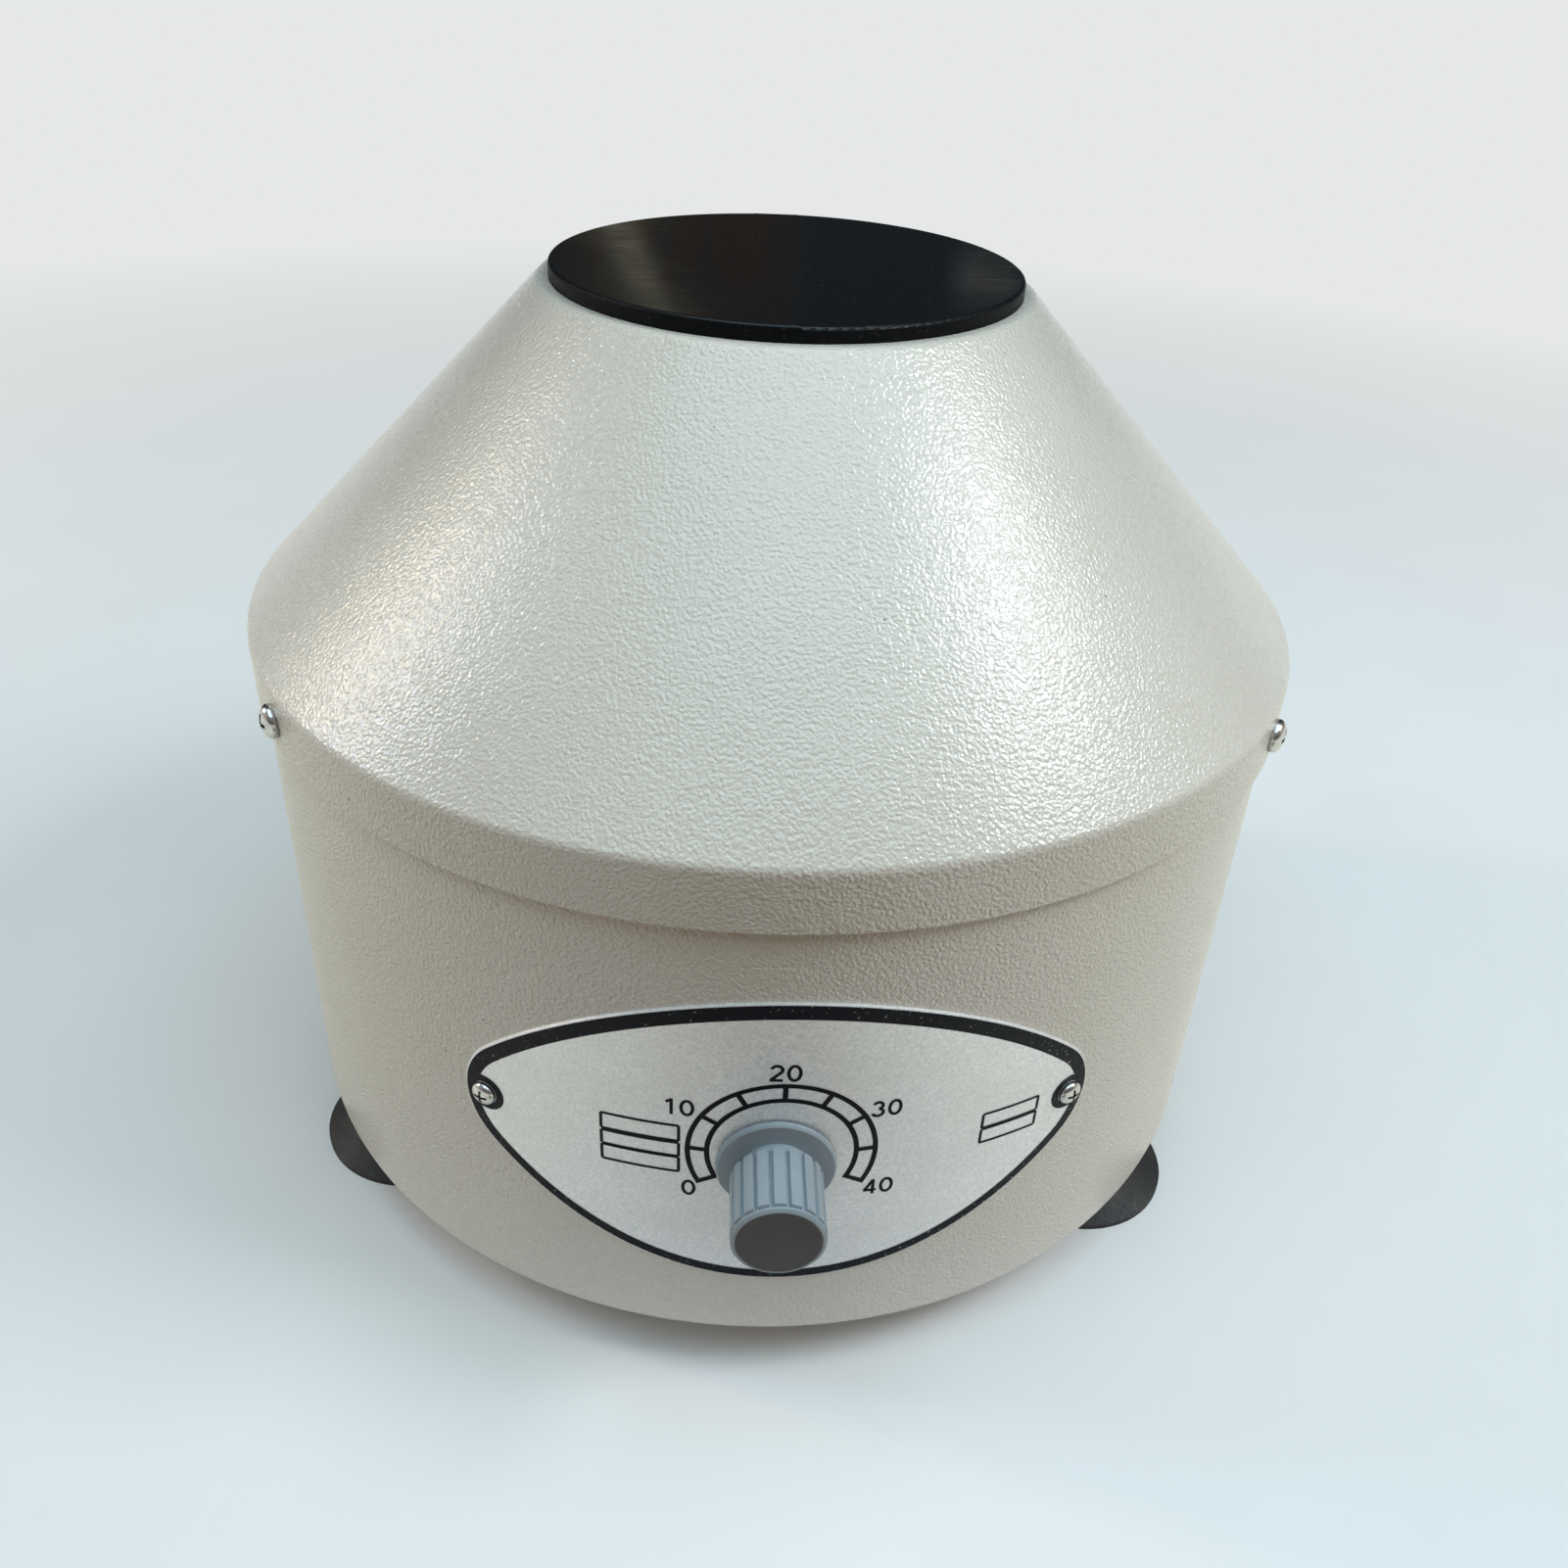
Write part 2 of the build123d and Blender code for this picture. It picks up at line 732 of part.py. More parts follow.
fuse_axis = outward(fuse_azimuth, drum_radius, fuse_height)
fuse_body_length = 30.0
fuse_radius = 2.5
fuse_length = 20.0
fuse_cap_depth = 9.0
fuse_body_radius = fuse_hole_radius - hole_clearance
with BuildPart() as fuse_holder:
    with Locations(fuse_axis):
        add(
            turned(
                (0, -fuse_body_length),
                (fuse_body_radius - 1, -fuse_body_length),
                (fuse_body_radius, -fuse_body_length + 1),
                (fuse_body_radius, -grommet_wall - 2.5),
                (fuse_body_radius + 0.9, -grommet_wall - 0.2),
                (fuse_body_radius, -grommet_wall),
                (fuse_body_radius, 0),
                (fuse_body_radius + 2.2, 0),
                (fuse_body_radius + 2.2, 1.6),
                (fuse_body_radius + 1.6, 2.2),
                (4.4, 2.2),
                (4.4, -4),
                (3.0, -4),
                (3.0, -fuse_body_length + 3),
                (0, -fuse_body_length + 3),
            )
        )
keep(fuse_holder.part, "fuse_holder")

with BuildPart() as fuse_cap:
    with Locations(fuse_axis):
        add(
            turned(
                (0, -3.8),
                (4.3, -3.8),
                (4.3, 2.3),
                (fuse_body_radius + 0.6, 2.3),
                (fuse_body_radius + 0.2, fuse_cap_depth),
                (0, fuse_cap_depth),
            )
        )
    with Locations(fuse_axis.offset(fuse_cap_depth)):
        Box(2 * fuse_body_radius + 2, 1.2, 1.6, mode=Mode.SUBTRACT)
keep(fuse_cap.part, "fuse_cap")

with BuildPart() as fuse:
    with Locations(fuse_axis.offset(-4)):
        Cylinder(fuse_radius, fuse_length, align=(Align.CENTER, Align.CENTER, Align.MAX))
keep(fuse.part, "fuse")

# Chamber pan on the drum's rim, its screws and the rubber boot round the shaft
with BuildPart() as chamber_pan:
    add(
        folded(
            pan_gauge,
            (pan_hole_radius, pan_floor - pan_gauge),
            (pan_radius - pan_bend, pan_floor - pan_gauge),
            (pan_radius, pan_floor - pan_gauge + pan_bend),
            (pan_radius, rim_top),
            (pan_flange_radius, rim_top),
        )
    )
    with Locations(*[p.offset(1) for p in rim_screws]):
        Hole(small_screw_radius + hole_clearance, depth=3)
keep(chamber_pan.part, "chamber_pan")

with BuildPart() as pan_screws:
    with Locations(*rim_screws):
        add(
            plain_screw(
                small_screw_radius, pan_screw_length, small_screw_head, small_screw_head_height
            )
        )
keep(pan_screws.part, "pan_screws")

boot_flange = pan_hole_radius + 2.5
boot_bore = shaft_radius + 1.0
with BuildPart() as shaft_boot:
    add(
        turned(
            (boot_bore, pan_floor - pan_gauge - 1.5),
            (boot_flange, pan_floor - pan_gauge - 1.5),
            (boot_flange, pan_floor - pan_gauge),
            (pan_hole_radius - close_clearance, pan_floor - pan_gauge),
            (pan_hole_radius - close_clearance, pan_floor),
            (boot_flange, pan_floor),
            (boot_flange, pan_floor + 1.5),
            (boot_bore + 2.0, pan_floor + 6.0),
            (boot_bore, pan_floor + 6.0),
        )
    )
keep(shaft_boot.part, "shaft_boot")

# Angle rotor: dished web between a hub and a rim, six pocket bosses and a rib below each
pockets = []
for number in range(tube_count):
    turn = math.radians(360 / tube_count * number)
    reach = Vector(math.sin(turn), -math.cos(turn), 0)
    pockets.append(
        Plane(
            origin=reach * tip_centre_radius + Vector(0, 0, tip_centre_z),
            x_dir=(math.cos(turn), math.sin(turn), 0),
            z_dir=reach * -tilt_sin + Vector(0, 0, tilt_cos),
        )
    )
web_radius = tip_centre_radius - rotor_web_along * tilt_sin
web_z = tip_centre_z + rotor_web_along * tilt_cos
hub_bore = shaft_radius + 0.02
boss_radius = pocket_bore + boss_wall


def web_point(along, above):
    # Point in the rotor's half section: along the dished web, and above its mid surface
    return (
        web_radius + along * tilt_cos - above * tilt_sin,
        web_z + along * tilt_sin + above * tilt_cos,
    )


def web_at(radius, above):
    # Point on a surface of the web at a given radius
    return web_point((radius - web_radius + above * tilt_sin) / tilt_cos, above)


half_web = rotor_web / 2
rim_along = (rotor_rim_radius - web_radius) / tilt_cos
drive_pin_radius = 1.25
drive_pin_z = rotor_hub_bottom + 1.5
with BuildPart() as rotor_head:
    add(
        turned(
            (hub_bore, rotor_hub_bottom),
            (rotor_hub_radius, rotor_hub_bottom),
            web_at(rotor_hub_radius, -half_web),
            web_point(rim_along - 3, -half_web),
            web_point(rim_along - 3, -half_web - rotor_rim_drop),
            web_point(rim_along, -half_web - rotor_rim_drop),
            web_point(rim_along, half_web),
            web_at(rotor_hub_radius, half_web),
            (rotor_hub_radius, rotor_hub_top),
            (hub_bore, rotor_hub_top),
        )
    )
    with Locations(*[p.offset(sleeve_length - boss_length) for p in pockets]):
        Cylinder(boss_radius, boss_length, align=(Align.CENTER, Align.CENTER, Align.MIN))
    for number in range(tube_count):
        rib_plane = Plane.XZ.rotated((0, 0, 360 / tube_count * number))
        with BuildSketch(rib_plane):
            with BuildLine():
                Polyline(
                    (rotor_hub_radius - 2, rotor_hub_bottom + 4),
                    web_at(rotor_hub_radius - 2, 0),
                    web_at(web_radius, 0),
                    web_at(web_radius - 4, -boss_length / 2 + half_web),
                    close=True,
                )
            make_face()
        extrude(amount=1.5, both=True)
    with Locations(*pockets):
        Cylinder(
            pocket_bore,
            sleeve_length + 2 * sleeve_outer,
            align=(Align.CENTER, Align.CENTER, Align.MIN),
            mode=Mode.SUBTRACT,
        )
    with Locations((0, 0, rotor_hub_bottom)):
        Box(
            2 * rotor_hub_radius + 2,
            2 * drive_pin_radius + 0.2,
            drive_pin_z + drive_pin_radius + 0.05 - rotor_hub_bottom,
            align=(Align.CENTER, Align.CENTER, Align.MIN),
            mode=Mode.SUBTRACT,
        )
keep(rotor_head.part, "rotor_head")

sleeve = turned(
    (0, -sleeve_outer),
    (sleeve_outer - 4.0, -sleeve_outer),
    (sleeve_outer, -sleeve_outer + 4.0),
    (sleeve_outer, sleeve_length),
    (sleeve_outer + sleeve_flange_width, sleeve_length),
    (sleeve_outer + sleeve_flange_width, sleeve_length + sleeve_flange_thickness),
    (sleeve_bore, sleeve_length + sleeve_flange_thickness),
    (sleeve_bore, -sleeve_bore + 4.0),
    (sleeve_bore - 4.0, -sleeve_bore),
    (0, -sleeve_bore),
)
with BuildPart() as tube_sleeves:
    with Locations(*pockets):
        add(sleeve)
keep(tube_sleeves.part, "tube_sleeves")

# Motor shaft, its drive pin, and the flanged nut that holds the rotor head
shaft_bottom = 20.0
shaft_top = rotor_hub_top + nut_flange + nut_height + 3.0
with BuildPart() as motor_shaft:
    add(
        turned(
            (0, shaft_bottom),
            (shaft_radius - 0.5, shaft_bottom),
            (shaft_radius, shaft_bottom + 0.5),
            (shaft_radius, rotor_hub_top - 1.0),
            (shaft_thread_radius, rotor_hub_top - 1.0),
            (shaft_thread_radius, shaft_top - 0.6),
            (shaft_thread_radius - 0.6, shaft_top),
            (0, shaft_top),
        )
    )
    with Locations(Plane.YZ.offset(shaft_radius + 1)):
        with Locations((0, drive_pin_z)):
            Hole(drive_pin_radius + 0.02, depth=2 * shaft_radius + 2)
keep(motor_shaft.part, "motor_shaft")

with BuildPart() as drive_pin:
    with Locations(Plane.YZ.offset(-9)):
        with Locations((0, drive_pin_z)):
            Cylinder(drive_pin_radius, 18, align=(Align.CENTER, Align.CENTER, Align.MIN))
keep(drive_pin.part, "drive_pin")

with BuildPart() as rotor_nut:
    with BuildSketch(Plane.XY.offset(rotor_hub_top)):
        Circle(9.0)
        Circle(shaft_thread_radius + close_clearance, mode=Mode.SUBTRACT)
    extrude(amount=nut_flange)
    with Locations((0, 0, rotor_hub_top + nut_flange)):
        add(hex_nut(shaft_thread_radius + close_clearance, 10, nut_height))
keep(rotor_nut.part, "rotor_nut")

# Armature: slotted core, one winding through the slots, and a slit commutator
slot_count = 12
slot_circle = 14.2
slot_length = 6.5
slot_width = 3.2
winding_rise = 7.0
core_bore = shaft_radius + 0.02
winding_outer = slot_circle + slot_length / 2
with BuildPart() as armature_core:
    with BuildSketch(Plane.XY.offset(stator_bottom)):
        Circle(armature_radius)
        Circle(core_bore, mode=Mode.SUBTRACT)
        with PolarLocations(slot_circle, slot_count):
            Rectangle(slot_length, slot_width, mode=Mode.SUBTRACT)
        with PolarLocations(armature_radius, slot_count):
            Rectangle(5.0, 1.4, mode=Mode.SUBTRACT)
    extrude(amount=stator_stack)
keep(armature_core.part, "armature_core")

with BuildPart() as armature_winding:
    add(
        turned(
            (shaft_radius + 1.0, stator_top),
            (winding_outer, stator_top),
            (winding_outer, stator_top + winding_rise - 3),
            (winding_outer - 3, stator_top + winding_rise),
            (shaft_radius + 3.0, stator_top + winding_rise),
            (shaft_radius + 1.0, stator_top + winding_rise - 2),
        )
    )
    add(
        turned(
            (shaft_radius + 1.0, stator_bottom),
            (shaft_radius + 1.0, stator_bottom - winding_rise + 2),
            (shaft_radius + 3.0, stator_bottom - winding_rise),
            (winding_outer - 3, stator_bottom - winding_rise),
            (winding_outer, stator_bottom - winding_rise + 3),
            (winding_outer, stator_bottom),
        )
    )
    with BuildSketch(Plane.XY.offset(stator_bottom)):
        with PolarLocations(slot_circle, slot_count):
            Rectangle(slot_length - 0.3, slot_width - 0.3)
    extrude(amount=stator_stack)
keep(armature_winding.part, "armature_winding")

with BuildPart() as commutator:
    with BuildSketch(Plane.XY.offset(commutator_bottom)):
        Circle(commutator_radius)
        Circle(core_bore, mode=Mode.SUBTRACT)
        with PolarLocations(commutator_radius, slot_count):
            Rectangle(2.0, 0.6, mode=Mode.SUBTRACT)
    extrude(amount=commutator_length)
keep(commutator.part, "commutator")

fan_blades = 8
with BuildPart() as cooling_fan:
    with BuildSketch(Plane.XY.offset(shaft_bottom + 0.8)):
        Circle(fan_radius)
        Circle(core_bore, mode=Mode.SUBTRACT)
    extrude(amount=1.2)
    with BuildSketch(Plane.XY.offset(shaft_bottom + 0.8)):
        Circle(7.0)
        Circle(core_bore, mode=Mode.SUBTRACT)
        with PolarLocations(0, fan_blades):
            with Locations((fan_radius / 2 + 4, 0)):
                Rectangle(fan_radius - 10, 1.2, rotation=12)
    extrude(amount=fan_thickness)
keep(cooling_fan.part, "cooling_fan")

# Stator: two poles inside a round yoke, with a coil round each pole's neck
shoe_inner = armature_radius + air_gap
shoe_outer = shoe_inner + 4.0
shoe_turn = 50.0
coil_start = shoe_outer + 0.4
coil_end = yoke_inner - 3.2
with BuildPart() as stator_core:
    with BuildSketch(Plane.XY.offset(stator_bottom)):
        Circle(stator_radius)
        Circle(yoke_inner, mode=Mode.SUBTRACT)
        for side in (0, 180):
            with BuildLine():
                low = Vector(shoe_inner, 0).rotate(Axis.Z, side - shoe_turn)
                high = Vector(shoe_inner, 0).rotate(Axis.Z, side + shoe_turn)
                inner = ThreePointArc(low, Vector(shoe_inner, 0).rotate(Axis.Z, side), high)
                low_out = Vector(shoe_outer, 0).rotate(Axis.Z, side - shoe_turn + 4)
                high_out = Vector(shoe_outer, 0).rotate(Axis.Z, side + shoe_turn - 4)
                ThreePointArc(low_out, Vector(shoe_outer, 0).rotate(Axis.Z, side), high_out)
                Line(low, low_out)
                Line(high, high_out)
            make_face()
            with PolarLocations(0, 1, start_angle=side):
                with Locations((shoe_outer - 1, 0)):
                    Rectangle(
                        yoke_inner - shoe_outer + 2, pole_neck, align=(Align.MIN, Align.CENTER)
                    )
        with Locations(*tie_bolt_spots):
            Circle(cone_screw_radius + hole_clearance, mode=Mode.SUBTRACT)
    extrude(amount=stator_stack)
keep(stator_core.part, "stator_core")

with BuildPart() as field_coils:
    for side in (-1, 1):
        with BuildSketch(Plane.YZ.offset(side * coil_start)):
            with Locations((0, stator_bottom + stator_stack / 2)):
                RectangleRounded(
                    pole_neck + 2 * coil_side + 0.4, stator_stack + 2 * coil_overhang, 3.0
                )
                Rectangle(pole_neck + 0.4, stator_stack + 0.4, mode=Mode.SUBTRACT)
        extrude(amount=side * (coil_end - coil_start))
keep(field_coils.part, "field_coils")

# Motor bells, with a seat for each bearing bush, air slots and holes for bolts and brushes
lower_bush_bottom = commutator_bottom - 1.5 - bush_length
upper_bush_bottom = motor_plate_bottom - 4.0
lower_floor_top = commutator_bottom - 1.5
bell_inner = stator_radius - bell_wall
bell_top = motor_plate_bottom
boss_radius_bell = bush_radius + bell_boss_wall
seat_radius = bush_radius + 0.02
brush_height = commutator_bottom + commutator_length / 2
brush_holder_radius = 5.5
with BuildPart() as motor_lower_bell:
    add(
        turned(
            (seat_radius, lower_bush_bottom),
            (boss_radius_bell - 1, lower_bush_bottom),
            (boss_radius_bell, lower_bush_bottom + 1),
            (boss_radius_bell, lower_floor_top - bell_disc),
            (stator_radius - 1.5, lower_floor_top - bell_disc),
            (stator_radius, lower_floor_top - bell_disc + 1.5),
            (stator_radius, stator_bottom),
            (bell_inner, stator_bottom),
            (bell_inner, lower_floor_top),
            (seat_radius, lower_floor_top),
        )
    )
    with BuildSketch(Plane.XY.offset(lower_floor_top)):
        with PolarLocations(24, 4, start_angle=45):
            SlotOverall(18, 9, rotation=90)
        with Locations(*tie_bolt_spots):
            Circle(cone_screw_radius + hole_clearance)
    extrude(amount=-bell_disc, mode=Mode.SUBTRACT)
    with BuildSketch(Plane.XY.offset(lower_floor_top)):
        with Locations(*tie_bolt_spots):
            Circle(cone_screw_radius + hole_clearance)
    extrude(amount=stator_bottom - lower_floor_top, mode=Mode.SUBTRACT)
    with Locations(Plane.YZ.offset(stator_radius + 1)):
        with Locations((0, brush_height)):
            Hole(brush_holder_radius + close_clearance, depth=2 * stator_radius + 2)
keep(motor_lower_bell.part, "motor_lower_bell")

bell_screw_circle = 29.0
with BuildPart() as motor_upper_bell:
    add(
        turned(
            (seat_radius, bell_top - bell_disc),
            (bell_inner, bell_top - bell_disc),
            (bell_inner, stator_top),
            (stator_radius, stator_top),
            (stator_radius, bell_top - 1.5),
            (stator_radius - 1.5, bell_top),
            (boss_radius_bell, bell_top),
            (boss_radius_bell, upper_bush_bottom + bush_length),
            (seat_radius, upper_bush_bottom + bush_length),
        )
    )
    with BuildSketch(Plane.XY.offset(bell_top)):
        with PolarLocations(bell_screw_circle, 4, start_angle=45):
            Circle(cone_screw_radius + close_clearance)
        with Locations(*tie_bolt_spots):
            Circle(cone_screw_radius + hole_clearance)
    extrude(amount=stator_top - bell_top, mode=Mode.SUBTRACT)
    with PolarLocations(0, 4, start_angle=45):
        with Locations((stator_radius, 0, stator_top + 2)):
            Box(
                20,
                16,
                5,
                align=(Align.CENTER, Align.CENTER, Align.MIN),
                mode=Mode.SUBTRACT,
            )
keep(motor_upper_bell.part, "motor_upper_bell")

bearing_bore = shaft_radius + bush_running_gap
with BuildPart() as bearing_bushes:
    for bottom in (lower_bush_bottom, upper_bush_bottom):
        with BuildSketch(Plane.XY.offset(bottom)):
            Circle(bush_radius)
            Circle(bearing_bore, mode=Mode.SUBTRACT)
        extrude(amount=bush_length)
keep(bearing_bushes.part, "bearing_bushes")

bolt_length = bell_top - lower_floor_top + bell_disc
with BuildPart() as tie_bolts:
    with Locations(*[(x, y, lower_floor_top - bell_disc) for x, y in tie_bolt_spots]):
        add(
            plain_screw(cone_screw_radius, bolt_length, motor_screw_head, motor_screw_head_height),
            rotation=(180, 0, 0),
        )
keep(tie_bolts.part, "tie_bolts")

# Brush gear on both sides of the commutator
brush_width = 5.0
brush_depth = 6.0
brush_start = commutator_radius + brush_gap
brush_length = 12.0
holder_start = commutator_radius + 3.5
holder_end = stator_radius + 3.0
brush_axes = [
    Plane(origin=(0, 0, brush_height), x_dir=(0, side, 0), z_dir=(side, 0, 0)) for side in (1, -1)
]
with BuildPart() as brush_holders:
    for axis in brush_axes:
        with Locations(axis.offset(holder_start)):
            Cylinder(
                brush_holder_radius,
                holder_end - holder_start,
                align=(Align.CENTER, Align.CENTER, Align.MIN),
            )
            Box(
                brush_width + 0.2,
                brush_depth + 0.2,
                holder_end - holder_start,
                align=(Align.CENTER, Align.CENTER, Align.MIN),
                mode=Mode.SUBTRACT,
            )
keep(brush_holders.part, "brush_holders")

with BuildPart() as carbon_brushes:
    for axis in brush_axes:
        with Locations(axis):
            Box(
                brush_width,
                brush_depth,
                brush_start + brush_length,
                align=(Align.CENTER, Align.CENTER, Align.MIN),
            )
    Cylinder(brush_start, 4 * brush_height, mode=Mode.SUBTRACT)
keep(carbon_brushes.part, "carbon_brushes")

with BuildPart() as brush_springs:
    for axis in brush_axes:
        with Locations(axis.offset(brush_start + brush_length)):
            Cylinder(
                2.2,
                holder_end - brush_start - brush_length,
                align=(Align.CENTER, Align.CENTER, Align.MIN),
            )
            Cylinder(
                1.5,
                holder_end - brush_start - brush_length,
                align=(Align.CENTER, Align.CENTER, Align.MIN),
                mode=Mode.SUBTRACT,
            )
keep(brush_springs.part, "brush_springs")

with BuildPart() as brush_caps:
    for axis in brush_axes:
        with Locations(axis.offset(holder_end)):
            Cylinder(
                brush_holder_radius, 2.5, align=(Align.CENTER, Align.CENTER, Align.MIN)
            )
        with Locations(axis.offset(holder_end + 2.5)):
            Box(2 * brush_holder_radius, 1.0, 2.0, mode=Mode.SUBTRACT)
keep(brush_caps.part, "brush_caps")

# Motor plate on three pillars with rubber isolators between
pillar_spots = [upright(a, pillar_ring_radius, 0) for a in (0, 120, 240)]
pillar_top = motor_plate_bottom - isolator_height
with BuildPart() as motor_plate:
    with BuildSketch(Plane.XY.offset(motor_plate_bottom)):
        with PolarLocations(pillar_ring_radius, 3, start_angle=-90):
            Circle(motor_plate_lobe)
        make_hull()
        Circle(boss_radius_bell + hole_clearance, mode=Mode.SUBTRACT)
        with PolarLocations(pillar_ring_radius, 3, start_angle=-90):
            Circle(foot_screw_radius + hole_clearance, mode=Mode.SUBTRACT)
        with PolarLocations(bell_screw_circle, 4, start_angle=45):
            Circle(cone_screw_radius + hole_clearance, mode=Mode.SUBTRACT)
    extrude(amount=motor_plate_gauge)
keep(motor_plate.part, "motor_plate")

with BuildPart() as motor_plate_screws:
    with Locations((0, 0, motor_plate_top)):
        with PolarLocations(bell_screw_circle, 4, start_angle=45):
            add(
                plain_screw(
                    cone_screw_radius,
                    motor_plate_gauge + bell_disc,
                    motor_screw_head,
                    motor_screw_head_height,
                )
            )
keep(motor_plate_screws.part, "motor_plate_screws")

pillar_thread = 10.0
with BuildPart() as motor_pillars:
    with Locations(*[p.offset(floor_top) for p in pillar_spots]):
        Cylinder(
            pillar_radius, pillar_top - floor_top, align=(Align.CENTER, Align.CENTER, Align.MIN)
        )
    with Locations(*[p.offset(floor_top + pillar_thread) for p in pillar_spots]):
        Hole(foot_screw_radius + close_clearance, depth=pillar_thread)
    with Locations(*[p.offset(pillar_top) for p in pillar_spots]):
        Hole(foot_screw_radius + close_clearance, depth=pillar_thread)
keep(motor_pillars.part, "motor_pillars")

with BuildPart() as pillar_screws:
    with Locations(*[p.offset(flange_top) for p in pillar_spots]):
        add(
            plain_screw(
                foot_screw_radius,
                base_plate_gauge + thread_engagement,
                foot_screw_head,
                foot_screw_head_height,
            ),
            rotation=(180, 0, 0),
        )
keep(pillar_screws.part, "pillar_screws")

with BuildPart() as vibration_isolators:
    with Locations(*[p.offset(pillar_top) for p in pillar_spots]):
        Cylinder(
            isolator_radius, isolator_height, align=(Align.CENTER, Align.CENTER, Align.MIN)
        )
    with Locations(*[p.offset(motor_plate_bottom) for p in pillar_spots]):
        Hole(foot_screw_radius + hole_clearance, depth=isolator_height)
keep(vibration_isolators.part, "vibration_isolators")

with BuildPart() as isolator_screws:
    with Locations(*[p.offset(motor_plate_top) for p in pillar_spots]):
        add(
            plain_screw(
                foot_screw_radius,
                motor_plate_gauge + isolator_height + thread_engagement,
                foot_screw_head,
                foot_screw_head_height,
            )
        )
keep(isolator_screws.part, "isolator_screws")

# Speed control board at the back of the base plate
board_length = 70.0
board_width = 44.0
board_gauge = 1.6
board_inset = 43.9
board_hole_inset = 4.0
board_y = drum_radius - board_inset
board_spacer = 12.5
spacer_half_width = 3.2
board_bottom = floor_top + board_spacer
board_top = board_bottom + board_gauge
with BuildPart() as control_board:
    with BuildSketch(Plane((0, board_y, board_bottom))):
        Rectangle(board_length, board_width)
        with GridLocations(
            board_length - 2 * board_hole_inset, board_width - 2 * board_hole_inset, 2, 2
        ):
            Circle(small_screw_radius + close_clearance, mode=Mode.SUBTRACT)
    extrude(amount=board_gauge)
keep(control_board.part, "control_board")

with BuildPart() as snap_spacer:
    with BuildSketch(Plane.XY):
        RegularPolygon(spacer_half_width, 6, major_radius=False)
    extrude(amount=board_spacer)
    add(
        turned(
            (0, board_spacer),
            (small_screw_radius, board_spacer),
            (small_screw_radius, board_spacer + board_gauge),
            (small_screw_radius + 0.7, board_spacer + board_gauge),
            (0, board_spacer + board_gauge + 3),
        )
    )
with BuildPart() as board_spacers:
    with Locations(Plane((0, board_y, floor_top))):
        with GridLocations(
            board_length - 2 * board_hole_inset, board_width - 2 * board_hole_inset, 2, 2
        ):
            add(snap_spacer.part)
keep(board_spacers.part, "board_spacers")

with BuildPart() as heat_sink:
    with BuildSketch(Plane((-13, board_y - 6, board_top))):
        Rectangle(30, 2.5)
        with Locations(*[(x, -4.25) for x in (-14, -7, 0, 7, 14)]):
            Rectangle(2.0, 7.0)
    extrude(amount=22)
keep(heat_sink.part, "heat_sink")

with BuildPart() as triac:
    with Locations(Plane((-13, board_y - 4.75, board_top + 3))):
        Box(10, 4.4, 16, align=(Align.CENTER, Align.MIN, Align.MIN))
        with Locations((-2.5, 2.2, 0), (0, 2.2, 0), (2.5, 2.2, 0)):
            Box(0.8, 0.6, 3, align=(Align.CENTER, Align.CENTER, Align.MAX))
keep(triac.part, "triac")

with BuildPart() as suppression_capacitor:
    with Locations((20, board_y - 4, board_top)):
        Box(24, 10, 16, align=(Align.CENTER, Align.CENTER, Align.MIN))
    fillet(suppression_capacitor.edges().filter_by(Axis.Z), radius=1.0)
keep(suppression_capacitor.part, "suppression_capacitor")

with BuildPart() as terminal_block:
    with BuildSketch(Plane((0, board_y + 13, board_top))):
        Rectangle(30, 8)
    extrude(amount=10)
    with Locations((0, board_y + 13, board_top + 10)):
        with GridLocations(7, 1, 4, 1):
            Hole(2.0, depth=3)
keep(terminal_block.part, "terminal_block")
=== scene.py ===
import math

import bmesh
import bpy
from mathutils import Matrix, Vector


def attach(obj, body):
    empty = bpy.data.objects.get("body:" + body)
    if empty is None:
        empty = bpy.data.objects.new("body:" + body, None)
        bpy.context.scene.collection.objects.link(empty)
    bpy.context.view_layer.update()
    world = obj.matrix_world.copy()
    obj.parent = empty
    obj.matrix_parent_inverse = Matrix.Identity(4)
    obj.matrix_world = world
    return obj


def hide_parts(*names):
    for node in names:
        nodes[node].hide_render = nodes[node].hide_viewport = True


# Lengths below are millimetres times mm, in the CAD frame: +Z up, front to -Y, axis of the drum on Z
mm = 0.001
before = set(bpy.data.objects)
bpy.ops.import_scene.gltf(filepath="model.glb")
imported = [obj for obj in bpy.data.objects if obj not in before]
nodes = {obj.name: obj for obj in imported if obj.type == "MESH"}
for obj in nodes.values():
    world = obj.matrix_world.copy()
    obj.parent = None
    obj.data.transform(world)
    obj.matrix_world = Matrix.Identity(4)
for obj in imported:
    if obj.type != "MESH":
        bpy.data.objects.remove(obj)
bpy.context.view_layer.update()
print("stage: frame loaded")


# Shared helpers for colours, shader nodes and meshes
def colour(code):
    # Screen colour as written in hex, turned into the linear values that shaders use
    channels = [int(code[i : i + 2], 16) / 255 for i in (1, 3, 5)]
    return [c / 12.92 if c <= 0.04045 else ((c + 0.055) / 1.055) ** 2.4 for c in channels] + [1.0]


def addNode(tree, kind, inputs=None, **settings):
    # One shader node: settings are its properties, inputs are values or the sockets that feed it
    node = tree.nodes.new("ShaderNode" + kind)
    for name, value in settings.items():
        setattr(node, name, value)
    for name, value in (inputs or {}).items():
        if isinstance(value, bpy.types.NodeSocket):
            tree.links.new(value, node.inputs[name])
        else:
            node.inputs[name].default_value = value
    return node


def newMaterial(name, inputs):
    # Material with its main shader's own sockets set
    material = bpy.data.materials.new(name)
    material.use_nodes = True
    shader = material.node_tree.nodes["Principled BSDF"]
    for socket, value in inputs.items():
        shader.inputs[socket].default_value = value
    return material, material.node_tree, shader


